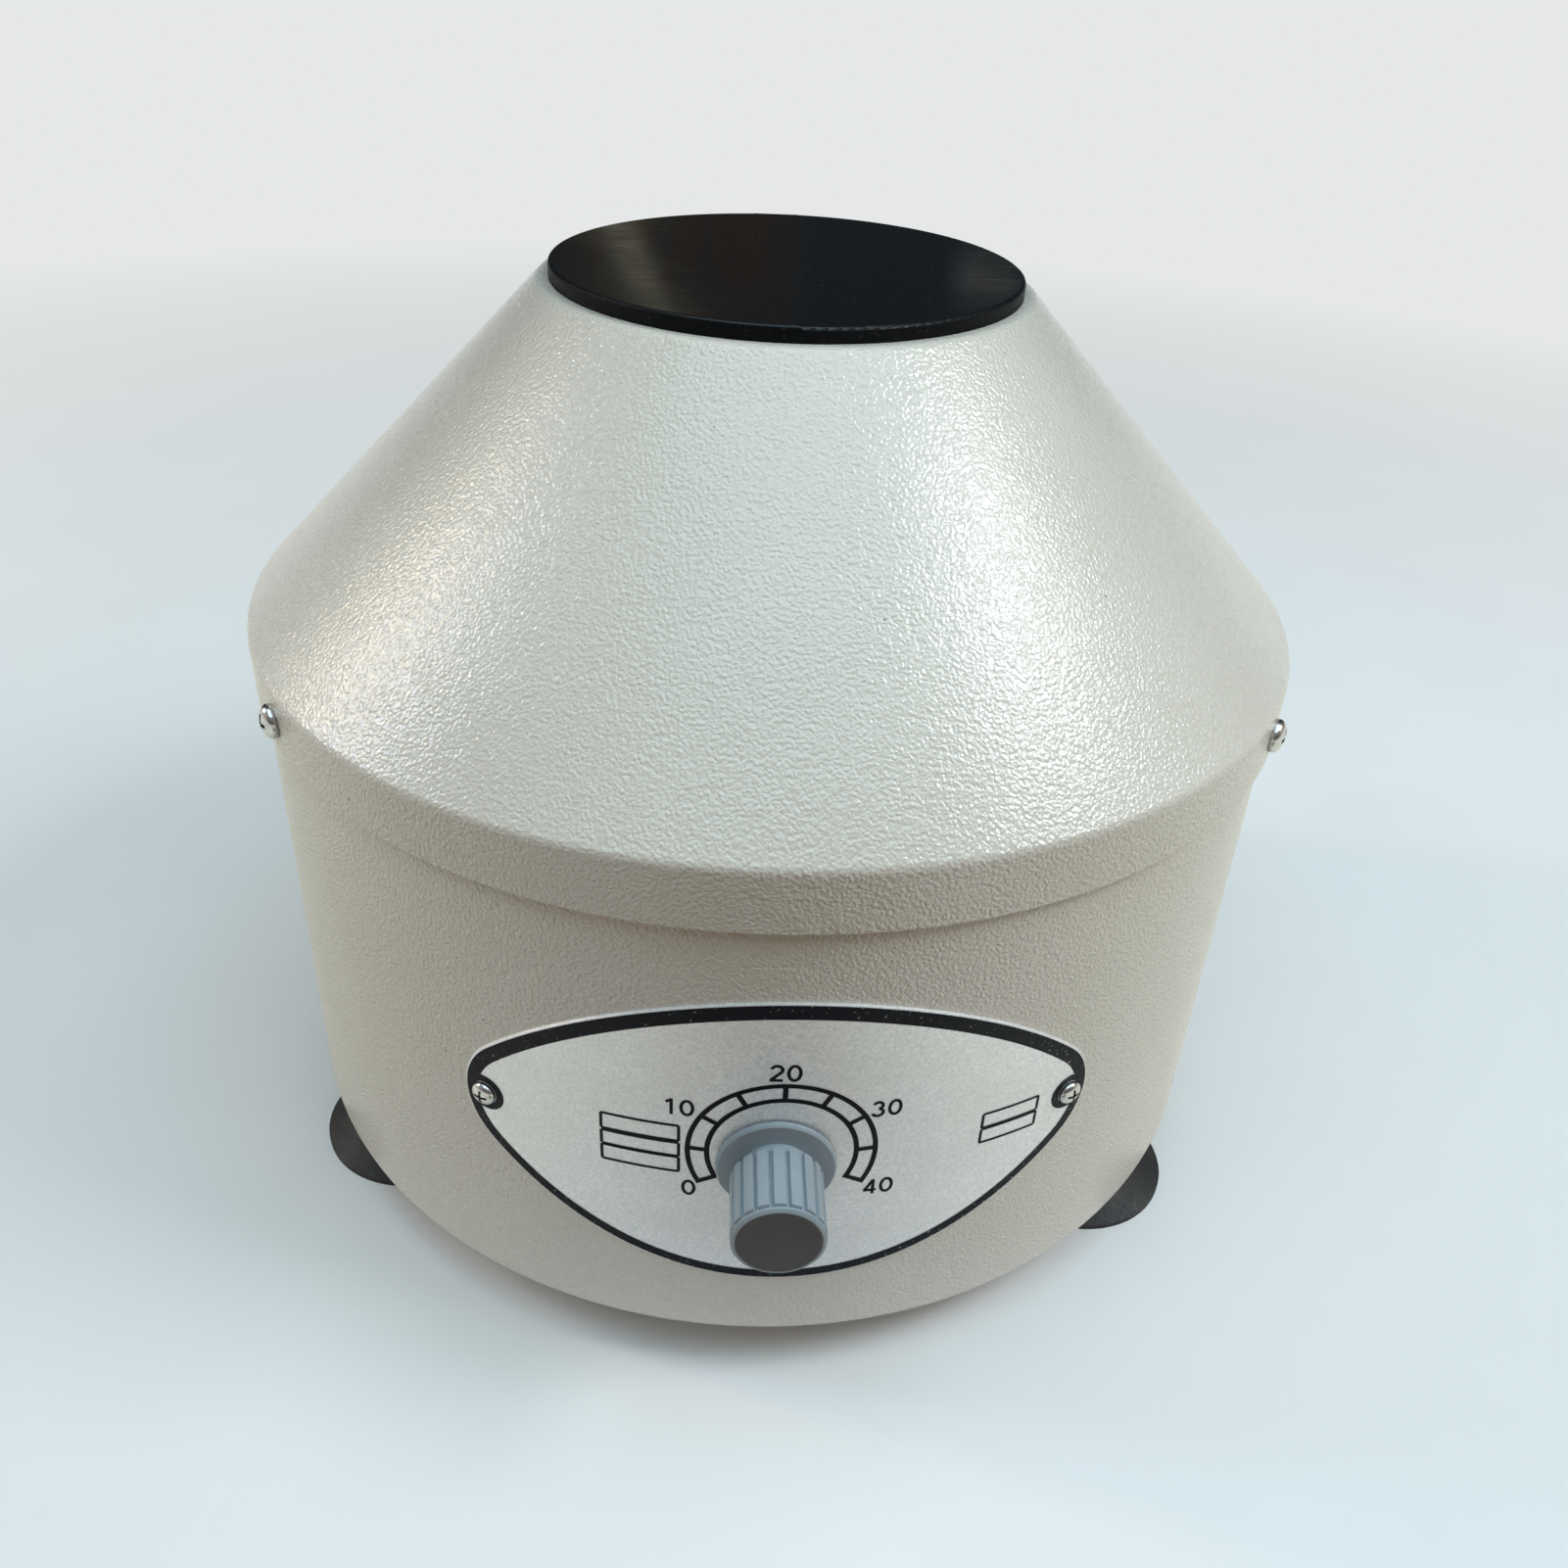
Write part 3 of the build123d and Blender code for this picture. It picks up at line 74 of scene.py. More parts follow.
def feed(tree, shader, sockets):
    # Links a shader's sockets, each to the value that it is given
    for name, value in sockets.items():
        tree.links.new(value, shader.inputs[name])


def place(tree, stretch=(1, 1, 1)):
    # Place on the piece in metres, so patterns keep their real size; stretch lengthens them
    here = addNode(tree, "TexCoord").outputs["Object"]
    scale = tuple(1 / s for s in stretch)
    return addNode(tree, "Mapping", {"Vector": here, "Scale": scale}).outputs["Vector"]


def lumps(tree, size, detail=2.0, stretch=(1, 1, 1), distortion=0.0):
    # Noise whose lumps are about size across
    inputs = {
        "Vector": place(tree, stretch),
        "Scale": 1 / size,
        "Detail": detail,
        "Distortion": distortion,
    }
    return addNode(tree, "TexNoise", inputs).outputs["Fac"]


def ramp(tree, value, low, high, start=0.0, end=1.0):
    # Value between low and high, spread to start and end
    inputs = {"Value": value, "From Min": low, "From Max": high, "To Min": start, "To Max": end}
    return addNode(tree, "MapRange", inputs).outputs["Result"]


def blendColours(tree, factor, first, second):
    # Colour that goes from first to second with the factor
    node = addNode(tree, "Mix", data_type="RGBA")
    tree.links.new(factor, node.inputs["Factor"])
    for socket, value in ((node.inputs[6], first), (node.inputs[7], second)):
        if isinstance(value, bpy.types.NodeSocket):
            tree.links.new(value, socket)
        else:
            socket.default_value = value
    return node.outputs[2]


def combine(tree, operation, first, second):
    # Sum, product, minimum or the like of two values
    return addNode(tree, "Math", {0: first, 1: second}, operation=operation).outputs["Value"]


def scaled(tree, value, factor):
    # Value times a factor
    return combine(tree, "MULTIPLY", value, factor)


def relief(tree, height, depth):
    # Bump of the given depth
    inputs = {"Height": height, "Distance": depth, "Strength": 1.0}
    return addNode(tree, "Bump", inputs).outputs["Normal"]


def upward(tree):
    # How far the surface faces up: 1 on a flat top, 0 on an upright wall
    normal = addNode(tree, "TexCoord").outputs["Normal"]
    return addNode(tree, "SeparateXYZ", {"Vector": normal}).outputs["Z"]


def addObject(name, data):
    # Object in the scene for a mesh, a lamp's data or a camera's
    thing = bpy.data.objects.new(name, data)
    bpy.context.scene.collection.objects.link(thing)
    return thing


def softenEdges(piece, width, segments, angle):
    # Bevel along the edges that turn by more than the angle, in degrees
    bevel = piece.modifiers.new("soft_edges", "BEVEL")
    bevel.width, bevel.segments, bevel.angle_limit = width, segments, math.radians(angle)


def newPiece(name, builder, material, body, smooth=35):
    # Mesh piece from a bmesh, shaded smooth up to an angle, riding on a CAD body
    mesh = bpy.data.meshes.new(name)
    bmesh.ops.recalc_face_normals(builder, faces=builder.faces[:])
    builder.to_mesh(mesh)
    builder.free()
    piece = addObject(name, mesh)
    mesh.materials.append(material)
    mesh.shade_smooth()
    mesh.set_sharp_from_angle(angle=math.radians(smooth))
    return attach(piece, body)


def addLathe(builder, outline, steps, to=Matrix.Identity(4)):
    # Ring of faces turned round Z from (radius, height) points; a closed outline meets itself
    rings = []
    for radius, height in outline:
        if radius < 1e-7:
            rings.append([builder.verts.new(to @ Vector((0, 0, height)))])
            continue
        turns = [2 * math.pi * k / steps for k in range(steps)]
        spots = [Vector((radius * math.cos(t), radius * math.sin(t), height)) for t in turns]
        rings.append([builder.verts.new(to @ s) for s in spots])
    for low, high in zip(rings, rings[1:]):
        for k in range(steps):
            n = (k + 1) % steps
            below = [low[k % len(low)], low[n % len(low)]]
            above = [high[n % len(high)], high[k % len(high)]]
            builder.faces.new(list(dict.fromkeys(below + above)))
    return rings


def rounded(points, radius, count):
    # Outline whose inner corners are turned into arcs of the given radius
    result = [Vector(points[0])]
    for before, corner, after in zip(points, points[1:], points[2:]):
        before, corner, after = Vector(before), Vector(corner), Vector(after)
        back, on = (before - corner).normalized(), (after - corner).normalized()
        half = math.acos(max(-1, min(1, back.dot(on)))) / 2
        # An arc takes less than half of each side, so that two arcs on one side never meet
        room = 0.45 * min((before - corner).length, (after - corner).length)
        reach = min(radius / math.tan(half), room)
        middle = corner + (back + on).normalized() * reach / math.cos(half)
        first, last = corner + back * reach - middle, corner + on * reach - middle
        spin = -first.angle_signed(last)
        for k in range(count + 1):
            result.append(middle + Matrix.Rotation(spin * k / count, 2) @ first)
    result.append(Vector(points[-1]))
    return [tuple(p) for p in result]


def thickened(outline, gauge):
    # Closed section of a sheet: the outline and its copy, gauge to the left of the way along it
    points = [Vector(p) for p in outline]
    inner = []
    for k, point in enumerate(points):
        way = (points[min(k + 1, len(points) - 1)] - points[max(k - 1, 0)]).normalized()
        inner.append(point + Vector((-way.y, way.x)) * gauge)
    section = points + inner[::-1]
    return [tuple(p) for p in section + section[:1]]


def outwardAt(azimuth, radius, height):
    # Matrix that sets a piece's Z straight out of the drum; azimuth 0 is the front
    a = math.radians(azimuth)
    out = Vector((math.sin(a), -math.cos(a), 0))
    side = Vector((math.cos(a), math.sin(a), 0))
    turn = Matrix((side, Vector((0, 0, 1)), out)).transposed().to_4x4()
    return Matrix.Translation(out * radius + Vector((0, 0, height))) @ turn


# Textured powder coat, fairly glossy: the eye sees pebbled skin and highlights broken into sparkles
coatSettings = {
    "colour": "#D0CCC1",
    "tint": "#CBC6BA",
    # Colour of the painted shade in the hollows between pebbles
    "pebblesAndHollowShade": "#A89F8F",
    "speck": "#9A9080",
    "pebble": 1.05 * mm,
    "worm": 0.72 * mm,
    "speckSize": 1.6 * mm,
    "patchSize": 55 * mm,
    "depth": (0.11 * mm, 0.068 * mm),
    "roughness": (0.30, 0.44),
}


def makePowderCoat(s):
    surface = {"Roughness": 0.36, "Coat Weight": 0.85, "Coat Roughness": 0.095, "Specular IOR Level": 0.5}
    material, tree, shader = newMaterial("textured_powder_coat_off_white", surface)
    pebbles = {"Vector": place(tree), "Scale": 1 / s["pebble"]}
    # Pebble relief, high on each pebble and low in the hollows; it also masks the painted hollow shade
    pebblesAndHollowShade = ramp(tree, addNode(tree, "TexVoronoi", pebbles).outputs["Distance"], 0.7, 0.1)
    worms = ramp(tree, lumps(tree, s["worm"], detail=0.0, distortion=0.4), 0.3, 0.7)
    fine = lumps(tree, s["worm"] / 2.5, detail=0.0)
    skin = combine(tree, "ADD", combine(tree, "ADD", pebblesAndHollowShade, worms), scaled(tree, fine, 0.25))
    # Upright walls take the coat a little thicker than the cone does
    normal = relief(tree, skin, ramp(tree, upward(tree), 0.2, 0.6, *s["depth"]))
    patches = ramp(tree, lumps(tree, s["patchSize"], detail=3.0), 0.35, 0.65)
    tone = blendColours(tree, patches, colour(s["colour"]), colour(s["tint"]))
    # Painted shade darkens the hollows where pebbles meet, and dark grains lie in it here and there
    shade = blendColours(tree, ramp(tree, pebblesAndHollowShade, 0.0, 0.35, 0.1, 0.0), tone, colour(s["pebblesAndHollowShade"]))
    specks = ramp(tree, lumps(tree, s["speckSize"], detail=0.0), 0.112, 0.104)
    sockets = {
        "Base Color": blendColours(tree, specks, shade, colour(s["speck"])),
        "Roughness": ramp(tree, fine, 0.3, 0.7, *s["roughness"]),
        "Normal": normal,
        "Coat Normal": normal,
    }
    feed(tree, shader, sockets)
    return material


# Black moulded lid, polished: mirrors its surroundings softly, with hairlines and a little dust
lidSettings = {
    "colour": "#0F1113",
    "dust": "#55534F",
    "hairline": 0.5 * mm,
    "dustSize": 0.9 * mm,
    "cloudSize": 26 * mm,
    "wave": 9 * mm,
    "waveDepth": 0.02 * mm,
    "polished": (0.5, 0.95),
}


def makeLidGloss(s):
    surface = {"Roughness": 0.16, "Coat Weight": 0.12, "Coat Roughness": 0.06, "Specular IOR Level": 0.36}
    material, tree, shader = newMaterial("polished_black_plastic", surface)
    scuffs = lumps(tree, s["hairline"], detail=4.0, stretch=(16, 1, 1))
    dust = ramp(tree, lumps(tree, s["dustSize"], detail=5.0), 0.62, 0.72)
    cloud = ramp(tree, lumps(tree, s["cloudSize"], detail=4.0), 0.42, 0.7)
    rough = combine(tree, "ADD", ramp(tree, scuffs, 0.45, 0.75, 0.07, 0.18), scaled(tree, cloud, 0.08))
    # The moulded edge was never polished: only the flat top mirrors
    up, polished = upward(tree), s["polished"]
    sockets = {
        "Base Color": blendColours(tree, scaled(tree, dust, 0.25), colour(s["colour"]), colour(s["dust"])),
        "Specular IOR Level": ramp(tree, up, *polished, 0.06, 0.36),
        "Coat Weight": ramp(tree, up, *polished, 0.0, 0.12),
        "Roughness": combine(tree, "ADD", rough, ramp(tree, up, *polished, 0.4, 0.0)),
        "Normal": relief(tree, lumps(tree, s["wave"], detail=1.0), s["waveDepth"]),
    }
    feed(tree, shader, sockets)
    return material


# Satin anodised sheet: pale silver with a very fine grain, which greys the reflections
plateSettings = {
    "colour": "#DCDFE2",
    "light": "#FCFCFD",
    "smear": "#DAD8D4",
    "grain": 0.7 * mm,
    "grainDepth": 0.012 * mm,
    "smearSize": 14 * mm,
}


def makePlateSatin(s):
    material, tree, shader = newMaterial("satin_anodised_aluminium", {"Metallic": 0.7, "Roughness": 0.5})
    grain = lumps(tree, s["grain"], detail=4.0)
    smears = ramp(tree, lumps(tree, s["smearSize"], detail=4.0, stretch=(2, 1, 1)), 0.35, 0.7)
    tone = blendColours(tree, ramp(tree, grain, 0.3, 0.7), colour(s["colour"]), colour(s["light"]))
    sockets = {
        "Base Color": blendColours(tree, scaled(tree, smears, 0.3), tone, colour(s["smear"])),
        "Roughness": ramp(tree, grain, 0.25, 0.75, 0.44, 0.6),
        "Normal": relief(tree, grain, s["grainDepth"]),
    }
    feed(tree, shader, sockets)
    return material


# Screen-printed ink: blue black, slightly proud and chipped to the metal here and there
def makeInk(name, code, chips):
    material, tree, shader = newMaterial(name, {"Roughness": 0.55, "Specular IOR Level": 0.12})
    worn = ramp(tree, lumps(tree, 0.8 * mm, detail=5.0), chips, chips + 0.05)
    sockets = {
        "Base Color": blendColours(tree, worn, colour(code), colour("#9C9C98")),
        "Roughness": ramp(tree, lumps(tree, 2 * mm), 0.3, 0.7, 0.38, 0.55),
        "Normal": relief(tree, lumps(tree, 0.6 * mm), 0.02 * mm),
    }
    feed(tree, shader, sockets)
    return material


# Moulded plastic with a fine eroded skin, rubbed smoother where it is touched
def makePlastic(name, code, edge, rough):
    material, tree, shader = newMaterial(name, {"Roughness": rough, "Specular IOR Level": 0.5})
    fine = lumps(tree, 0.35 * mm, detail=3.0)
    rubbed = ramp(tree, lumps(tree, 12 * mm, detail=3.0), 0.35, 0.7)
    eroded = ramp(tree, fine, 0.3, 0.7, rough - 0.06, rough + 0.06)
    sockets = {
        "Base Color": blendColours(tree, scaled(tree, rubbed, 0.5), colour(code), colour(edge)),
        "Roughness": combine(tree, "ADD", eroded, scaled(tree, rubbed, -0.05)),
        "Normal": relief(tree, fine, 0.02 * mm),
    }
    feed(tree, shader, sockets)
    return material


# Metals. Nickel plate is a clean mirror with a few dull spots, zinc plate a duller blue-grey spangle;
# cast, sintered and pressed metals have a grain, and drawn steel has fine upright lines
def makeMetal(name, code, other, rough, spangle, depth=0.01 * mm, stretch=(1, 1, 1)):
    material, tree, shader = newMaterial(name, {"Metallic": 1.0, "Roughness": rough})
    patches = lumps(tree, spangle, detail=3.0, stretch=stretch)
    sockets = {
        "Base Color": blendColours(tree, ramp(tree, patches, 0.35, 0.65), colour(code), colour(other)),
        "Roughness": ramp(tree, patches, 0.3, 0.7, rough * 0.8, rough * 1.3),
        "Normal": relief(tree, patches, depth),
    }
    feed(tree, shader, sockets)
    return material


# Moulded black rubber: matt, slightly grey where dust sits
def makeRubber():
    material, tree, shader = newMaterial("moulded_black_rubber", {"Roughness": 0.62})
    fine = lumps(tree, 0.5 * mm, detail=4.0)
    dust = ramp(tree, lumps(tree, 7 * mm, detail=5.0), 0.45, 0.75)
    sockets = {
        "Base Color": blendColours(tree, scaled(tree, dust, 0.45), colour("#151516"), colour("#3C3833")),
        "Roughness": ramp(tree, fine, 0.3, 0.7, 0.5, 0.72),
        "Normal": relief(tree, fine, 0.03 * mm),
    }
    feed(tree, shader, sockets)
    return material


# Stacked laminations or wound wire: fine stripes across the piece's height
def makeStriped(name, code, gap, pitch, rough, metallic):
    material, tree, shader = newMaterial(name, {"Metallic": metallic, "Roughness": rough})
    here = addNode(tree, "TexCoord").outputs["Object"]
    stripes = {"Vector": here, "Scale": 0.1 / pitch * math.pi, "Distortion": 0.3}
    wave = addNode(tree, "TexWave", stripes, bands_direction="Z").outputs["Fac"]
    sockets = {
        "Base Color": blendColours(tree, wave, colour(gap), colour(code)),
        "Roughness": ramp(tree, lumps(tree, 3 * mm), 0.3, 0.7, rough - 0.08, rough + 0.08),
        "Normal": relief(tree, wave, pitch / 5),
    }
    feed(tree, shader, sockets)
    return material


# Drawn glass tube: clear, with a slightly uneven tint
def makeFuseGlass():
    surface = {"Roughness": 0.08, "Transmission Weight": 0.85, "IOR": 1.5}
    material, tree, shader = newMaterial("fuse_glass_tube", surface)
    patches = ramp(tree, lumps(tree, 4 * mm), 0.3, 0.7)
    feed(tree, shader, {"Base Color": blendColours(tree, patches, colour("#E6ECEC"), colour("#D5DDDC"))})
    return material


coat = makePowderCoat(coatSettings)
lidGloss = makeLidGloss(lidSettings)
plateSatin = makePlateSatin(plateSettings)
ink = makeInk("blue_black_print", "#0F1116", 0.74)
# This ink also paints the dark shadow rings round the plate screws
borderInkAndScrewShadow = makeInk("blue_black_border_print_and_screw_shadow", "#12151C", 0.66)
knobGrey = makePlastic("moulded_blue_grey_plastic", "#87939A", "#959FA4", 0.38)
capGrey = makePlastic("moulded_dark_grey_plastic", "#4E4A4C", "#5A5658", 0.46)
blackPlastic = makePlastic("moulded_black_plastic", "#1C1C1D", "#2B2B2C", 0.42)
nylon = makePlastic("natural_nylon", "#D9D5C6", "#CFCAB8", 0.48)
amberCase = makePlastic("moulded_amber_case", "#B98B2A", "#C79A3C", 0.34)
greenBoard = makePlastic("green_board_laminate", "#1F5B33", "#2C6B41", 0.4)
rubber = makeRubber()
nickel = makeMetal("bright_nickel_plate", "#D8D8D6", "#C4C3C0", 0.16, 2 * mm)
zinc = makeMetal("zinc_plated_steel", "#A9ACAE", "#BDBFBF", 0.34, 3 * mm)
drawnSteel = makeMetal("drawn_stainless_steel", "#A7A9A9", "#BCBDBC", 0.28, 1.2 * mm, stretch=(1, 1, 14))
castMetal = makeMetal("cast_aluminium", "#A4A6A7", "#B6B7B7", 0.4, 1.6 * mm, depth=0.03 * mm)
bronze = makeMetal("sintered_bronze", "#9C7A4A", "#87683D", 0.44, 0.6 * mm, depth=0.02 * mm)
carbon = makeMetal("pressed_carbon", "#2A2A2B", "#3A3A3B", 0.5, 0.5 * mm)
laminated = makeStriped("lacquered_core_laminations", "#6A6B6C", "#2E2E30", 0.5 * mm, 0.45, 0.9)
copper = makeStriped("enamelled_copper_wire", "#B5652F", "#5E2E14", 0.6 * mm, 0.32, 0.85)
fuseGlass = makeFuseGlass()

# Which finish each piece of the CAD model has
finishes = {
    coat: ("base_shell", "cone_cover"),
    lidGloss: ("lid",),
    plateSatin: ("dial_plate",),
    knobGrey: ("speed_knob",),
    capGrey: ("knob_cap",),
    blackPlastic: (
        "fuse_holder", "fuse_cap", "brush_holders", "brush_caps", "cooling_fan", "triac",
        "terminal_block", "speed_control",
    ),
    rubber: (
        "suction_foot_left", "suction_foot_right", "suction_foot_rear", "cord_grommet",
        "shaft_boot", "lid_seal", "vibration_isolators",
    ),
    nickel: ("cone_screws", "dial_plate_screws", "control_shaft", "speed_control_nut"),
    zinc: (
        "base_plate", "foot_screws", "foot_nuts", "cone_nuts", "hinge_pin", "hinge_rivets",
        "hinge_bracket", "pan_screws", "drive_pin", "rotor_nut", "motor_shaft", "tie_bolts",
        "motor_plate_screws", "motor_plate", "motor_pillars", "pillar_screws", "isolator_screws",
        "brush_springs",
    ),
    drawnSteel: ("chamber_pan",),
    castMetal: ("rotor_head", "tube_sleeves", "motor_lower_bell", "motor_upper_bell", "heat_sink"),
    bronze: ("bearing_bushes",),
    carbon: ("carbon_brushes",),
    laminated: ("armature_core", "stator_core"),
    copper: ("armature_winding", "field_coils", "commutator"),
    fuseGlass: ("fuse",),
    greenBoard: ("control_board",),
    nylon: ("board_spacers",),
    amberCase: ("suppression_capacitor",),
}
for material, names in finishes.items():
    for name in names:
        nodes[name].data.materials.clear()
        nodes[name].data.materials.append(material)
print("stage: materials made")

# Cone cover: spun sheet with soft bends at the shoulder and round the mouth
coverSettings = {
    "skirtRadius": 130.1 * mm,
    "skirtLow": 137.3 * mm,
    "shoulder": 151.7 * mm,
    "mouth": 226.7 * mm,
    "ledgeRadius": 57.3 * mm,
    "mouthRadius": 50.0 * mm,
    "lip": 5.0 * mm,
    "gauge": 1.2 * mm,
    "bend": 3.0 * mm,
    "bendSteps": 8,
    "steps": 256,
}


def makeCoverSkin(s):
    outline = [
        (s["skirtRadius"], s["skirtLow"]),
        (s["skirtRadius"], s["shoulder"]),
        (s["ledgeRadius"], s["mouth"]),
        (s["mouthRadius"], s["mouth"]),
        (s["mouthRadius"], s["mouth"] - s["lip"]),
    ]
    builder = bmesh.new()
    addLathe(builder, thickened(rounded(outline, s["bend"], s["bendSteps"]), s["gauge"]), s["steps"])
    piece = newPiece("cone_cover_skin", builder, coat, "housing")
    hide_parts("cone_cover")


makeCoverSkin(coverSettings)

# Drum: rolled sheet with a round bend to its foot flange
drumSettings = {
    "radius": 128.4 * mm,
    "low": 15.0 * mm,
    "high": 150.5 * mm,
    "flange": 90.0 * mm,
    "rim": 116.0 * mm,
    "gauge": 1.0 * mm,
    "bend": 3.0 * mm,
    "bendSteps": 8,
    "steps": 256,
}


def makeDrumSkin(s):
    outline = [
        (s["flange"], s["low"]),
        (s["radius"], s["low"]),
        (s["radius"], s["high"]),
        (s["rim"], s["high"]),
    ]
    builder = bmesh.new()
    addLathe(builder, thickened(rounded(outline, s["bend"], s["bendSteps"]), s["gauge"]), s["steps"])
    piece = newPiece("drum_skin", builder, coat, "housing")
    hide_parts("base_shell")


makeDrumSkin(drumSettings)
print("stage: casing made")

# Dial print, in places measured along the plate's curve (across) and up from its height setting.
# Widths and steps of digits are shares of their height; print over print lies a layer higher
dialSettings = {
    "radius": 129.2 * mm,
    "height": 76.5 * mm,
    "lift": 0.05 * mm,
    "layer": 0.01 * mm,
    "ringMiddle": (-0.42 * mm, 0.1 * mm),
    "ringInner": 16.05 * mm,
    "ringOuter": 20.2 * mm,
    "line": 1.15 * mm,
    "sweep": 118,
    "cells": 8,
    "digitHeight": 4.55 * mm,
    "digitWidth": 0.66,
    "digitStep": 0.8,
    "digitLine": 0.74 * mm,
    "boxLine": 0.7 * mm,
}


def onDial(across, up, lift):
    # Point on the bent plate
    s = dialSettings
    turn = across / s["radius"]
    out = s["radius"] + lift
    return Vector((out * math.sin(turn), -out * math.cos(turn), s["height"] + up))


def addStrip(builder, left, right, lift, closed=False):
    # Band of faces between two rows of (across, up) points
    rows = [[builder.verts.new(onDial(a, u, lift)) for a, u in row] for row in (left, right)]
    count = len(left) if closed else len(left) - 1
    for k in range(count):
        n = (k + 1) % len(left)
        builder.faces.new((rows[0][k], rows[0][n], rows[1][n], rows[1][k]))


def addArc(builder, middle, radius, start, end, width, lift, steps=64):
    # Printed arc; angles from the top, plus is clockwise
    turns = [math.radians(start + (end - start) * k / steps) for k in range(steps + 1)]
    ways = [Vector((math.sin(t), math.cos(t))) for t in turns]
    sides = [[tuple(middle + way * r) for way in ways] for r in (radius - width / 2, radius + width / 2)]
    addStrip(builder, *sides, lift)


def addLine(builder, start, end, width, lift, steps=4):
    # Printed straight line, in short lengths so that it follows the plate's curve
    start, end = Vector(start), Vector(end)
    side = (end - start).normalized().orthogonal() * width / 2
    middle = [start.lerp(end, k / steps) for k in range(steps + 1)]
    addStrip(builder, [tuple(p - side) for p in middle], [tuple(p + side) for p in middle], lift)


def makeDialScale(s):
    builder = bmesh.new()
    middle = Vector(s["ringMiddle"])
    for radius in (s["ringInner"], s["ringOuter"]):
        addArc(builder, middle, radius, -s["sweep"], s["sweep"], s["line"], s["lift"])
    for k in range(s["cells"] + 1):
        t = math.radians(-s["sweep"] + 2 * s["sweep"] * k / s["cells"])
        way = Vector((math.sin(t), math.cos(t)))
        start = middle + way * (s["ringInner"] - s["line"] / 2)
        end = middle + way * (s["ringOuter"] + s["line"] / 2)
        addLine(builder, start, end, s["line"], s["lift"] + s["layer"])
    piece = newPiece("dial_scale_print", builder, ink, "housing")


makeDialScale(dialSettings)

# Plain numbers round the scale, and blank outlined boxes at its sides as left, right, top and bottom,
# all in millimetres
numberPlaces = {
    "0": (-20.3, -11.8),
    "10": (-22.6, 12.3),
    "20": (-0.6, 23.9),
    "30": (21.4, 12.1),
    "40": (21.4, -11.8),
}
boxPlaces = (
    (-39.6, -22.5, 6.75, 2.25),
    (-39.6, -22.5, 1.6, -2.4),
    (-39.6, -22.5, -2.75, -7.1),
    (44.75, 59.1, 3.9, -0.3),
    (44.75, 59.1, -0.8, -4.9),
)


def bow(middle, reach, start, end, steps=32):
    # Points along part of an oval, angles in degrees from the right, plus is anticlockwise
    turns = [math.radians(start + (end - start) * k / steps) for k in range(steps + 1)]
    return [(middle[0] + reach[0] * math.cos(t), middle[1] + reach[1] * math.sin(t)) for t in turns]


# Centre lines of the digits' strokes, in a box one unit tall
digitStrokes = {
    "0": (bow((0.33, 0.5), (0.27, 0.44), 90, 450),),
    "1": ([(0.40, 0.0), (0.40, 1.0)], [(0.14, 0.76), (0.40, 0.93)]),
    "2": (
        bow((0.33, 0.70), (0.25, 0.24), 168, -40) + [(0.08, 0.10), (0.07, 0.065)],
        [(0.02, 0.065), (0.61, 0.065)],
    ),
    "3": (bow((0.31, 0.725), (0.22, 0.21), 160, -85), bow((0.31, 0.29), (0.26, 0.225), 85, -165)),
    "4": ([(0.46, 0.0), (0.46, 1.0)], [(0.44, 0.95), (0.06, 0.28)], [(0.0, 0.28), (0.63, 0.28)]),
}


def addNumber(builder, text, centre, s):
    # Number in plain strokes, centred on (across, up) in millimetres
    wide = (len(text) * s["digitStep"] - (s["digitStep"] - s["digitWidth"])) * s["digitHeight"]
    for place, digit in enumerate(text):
        left = centre[0] * mm - wide / 2 + place * s["digitStep"] * s["digitHeight"]
        low = centre[1] * mm - s["digitHeight"] / 2
        for stroke in digitStrokes[digit]:
            points = [Vector((left, low)) + Vector(p) * s["digitHeight"] for p in stroke]
            sides = ([], [])
            for k, point in enumerate(points):
                way = points[min(k + 1, len(points) - 1)] - points[max(k - 1, 0)]
                # A stroke that closes on itself has one direction at its two ends
                if points[0] == points[-1] and k in (0, len(points) - 1):
                    way = points[1] - points[-2]
                step = way.normalized().orthogonal() * s["digitLine"] / 2
                sides[0].append(tuple(point - step))
                sides[1].append(tuple(point + step))
            addStrip(builder, *sides, s["lift"])


def makeDialNumbers(s):
    builder = bmesh.new()
    for text, centre in numberPlaces.items():
        addNumber(builder, text, centre, s)
    piece = newPiece("dial_numbers_print", builder, ink, "housing")


def makeBlankBoxes(s):
    builder = bmesh.new()
    for left, right, top, bottom in boxPlaces:
        corners = [Vector(c) * mm for c in ((left, top), (right, top), (right, bottom), (left, bottom))]
        for k, corner in enumerate(corners):
            addLine(builder, corner, corners[(k + 1) % 4], s["boxLine"], s["lift"])
    piece = newPiece("blank_box_print", builder, ink, "housing")


makeDialNumbers(dialSettings)
makeBlankBoxes(dialSettings)

# Plate border: a black band just inside the bright edge, heavier along the top, and a dark ring round each
# screw head that paints its shadow
borderAndScrewShadowSettings = {
    "arcRadius": 88.0 * mm,
    "halfHeight": 41.4 * mm,
    "endRadius": 20.0 * mm,
    "centreUp": 1.0 * mm,
    "outer": 0.2 * mm,
    "inner": 2.65 * mm,
    "innerTop": 3.9 * mm,
    "arcSteps": 60,
    "endSteps": 24,
    "screwAcross": 65.1 * mm,
    # Painted shadow round each screw head: a dark ring from the inner to the outer radius
    "screwShadowRing": (3.0 * mm, 4.9 * mm),
    "screwShadowRingSteps": 48,
}


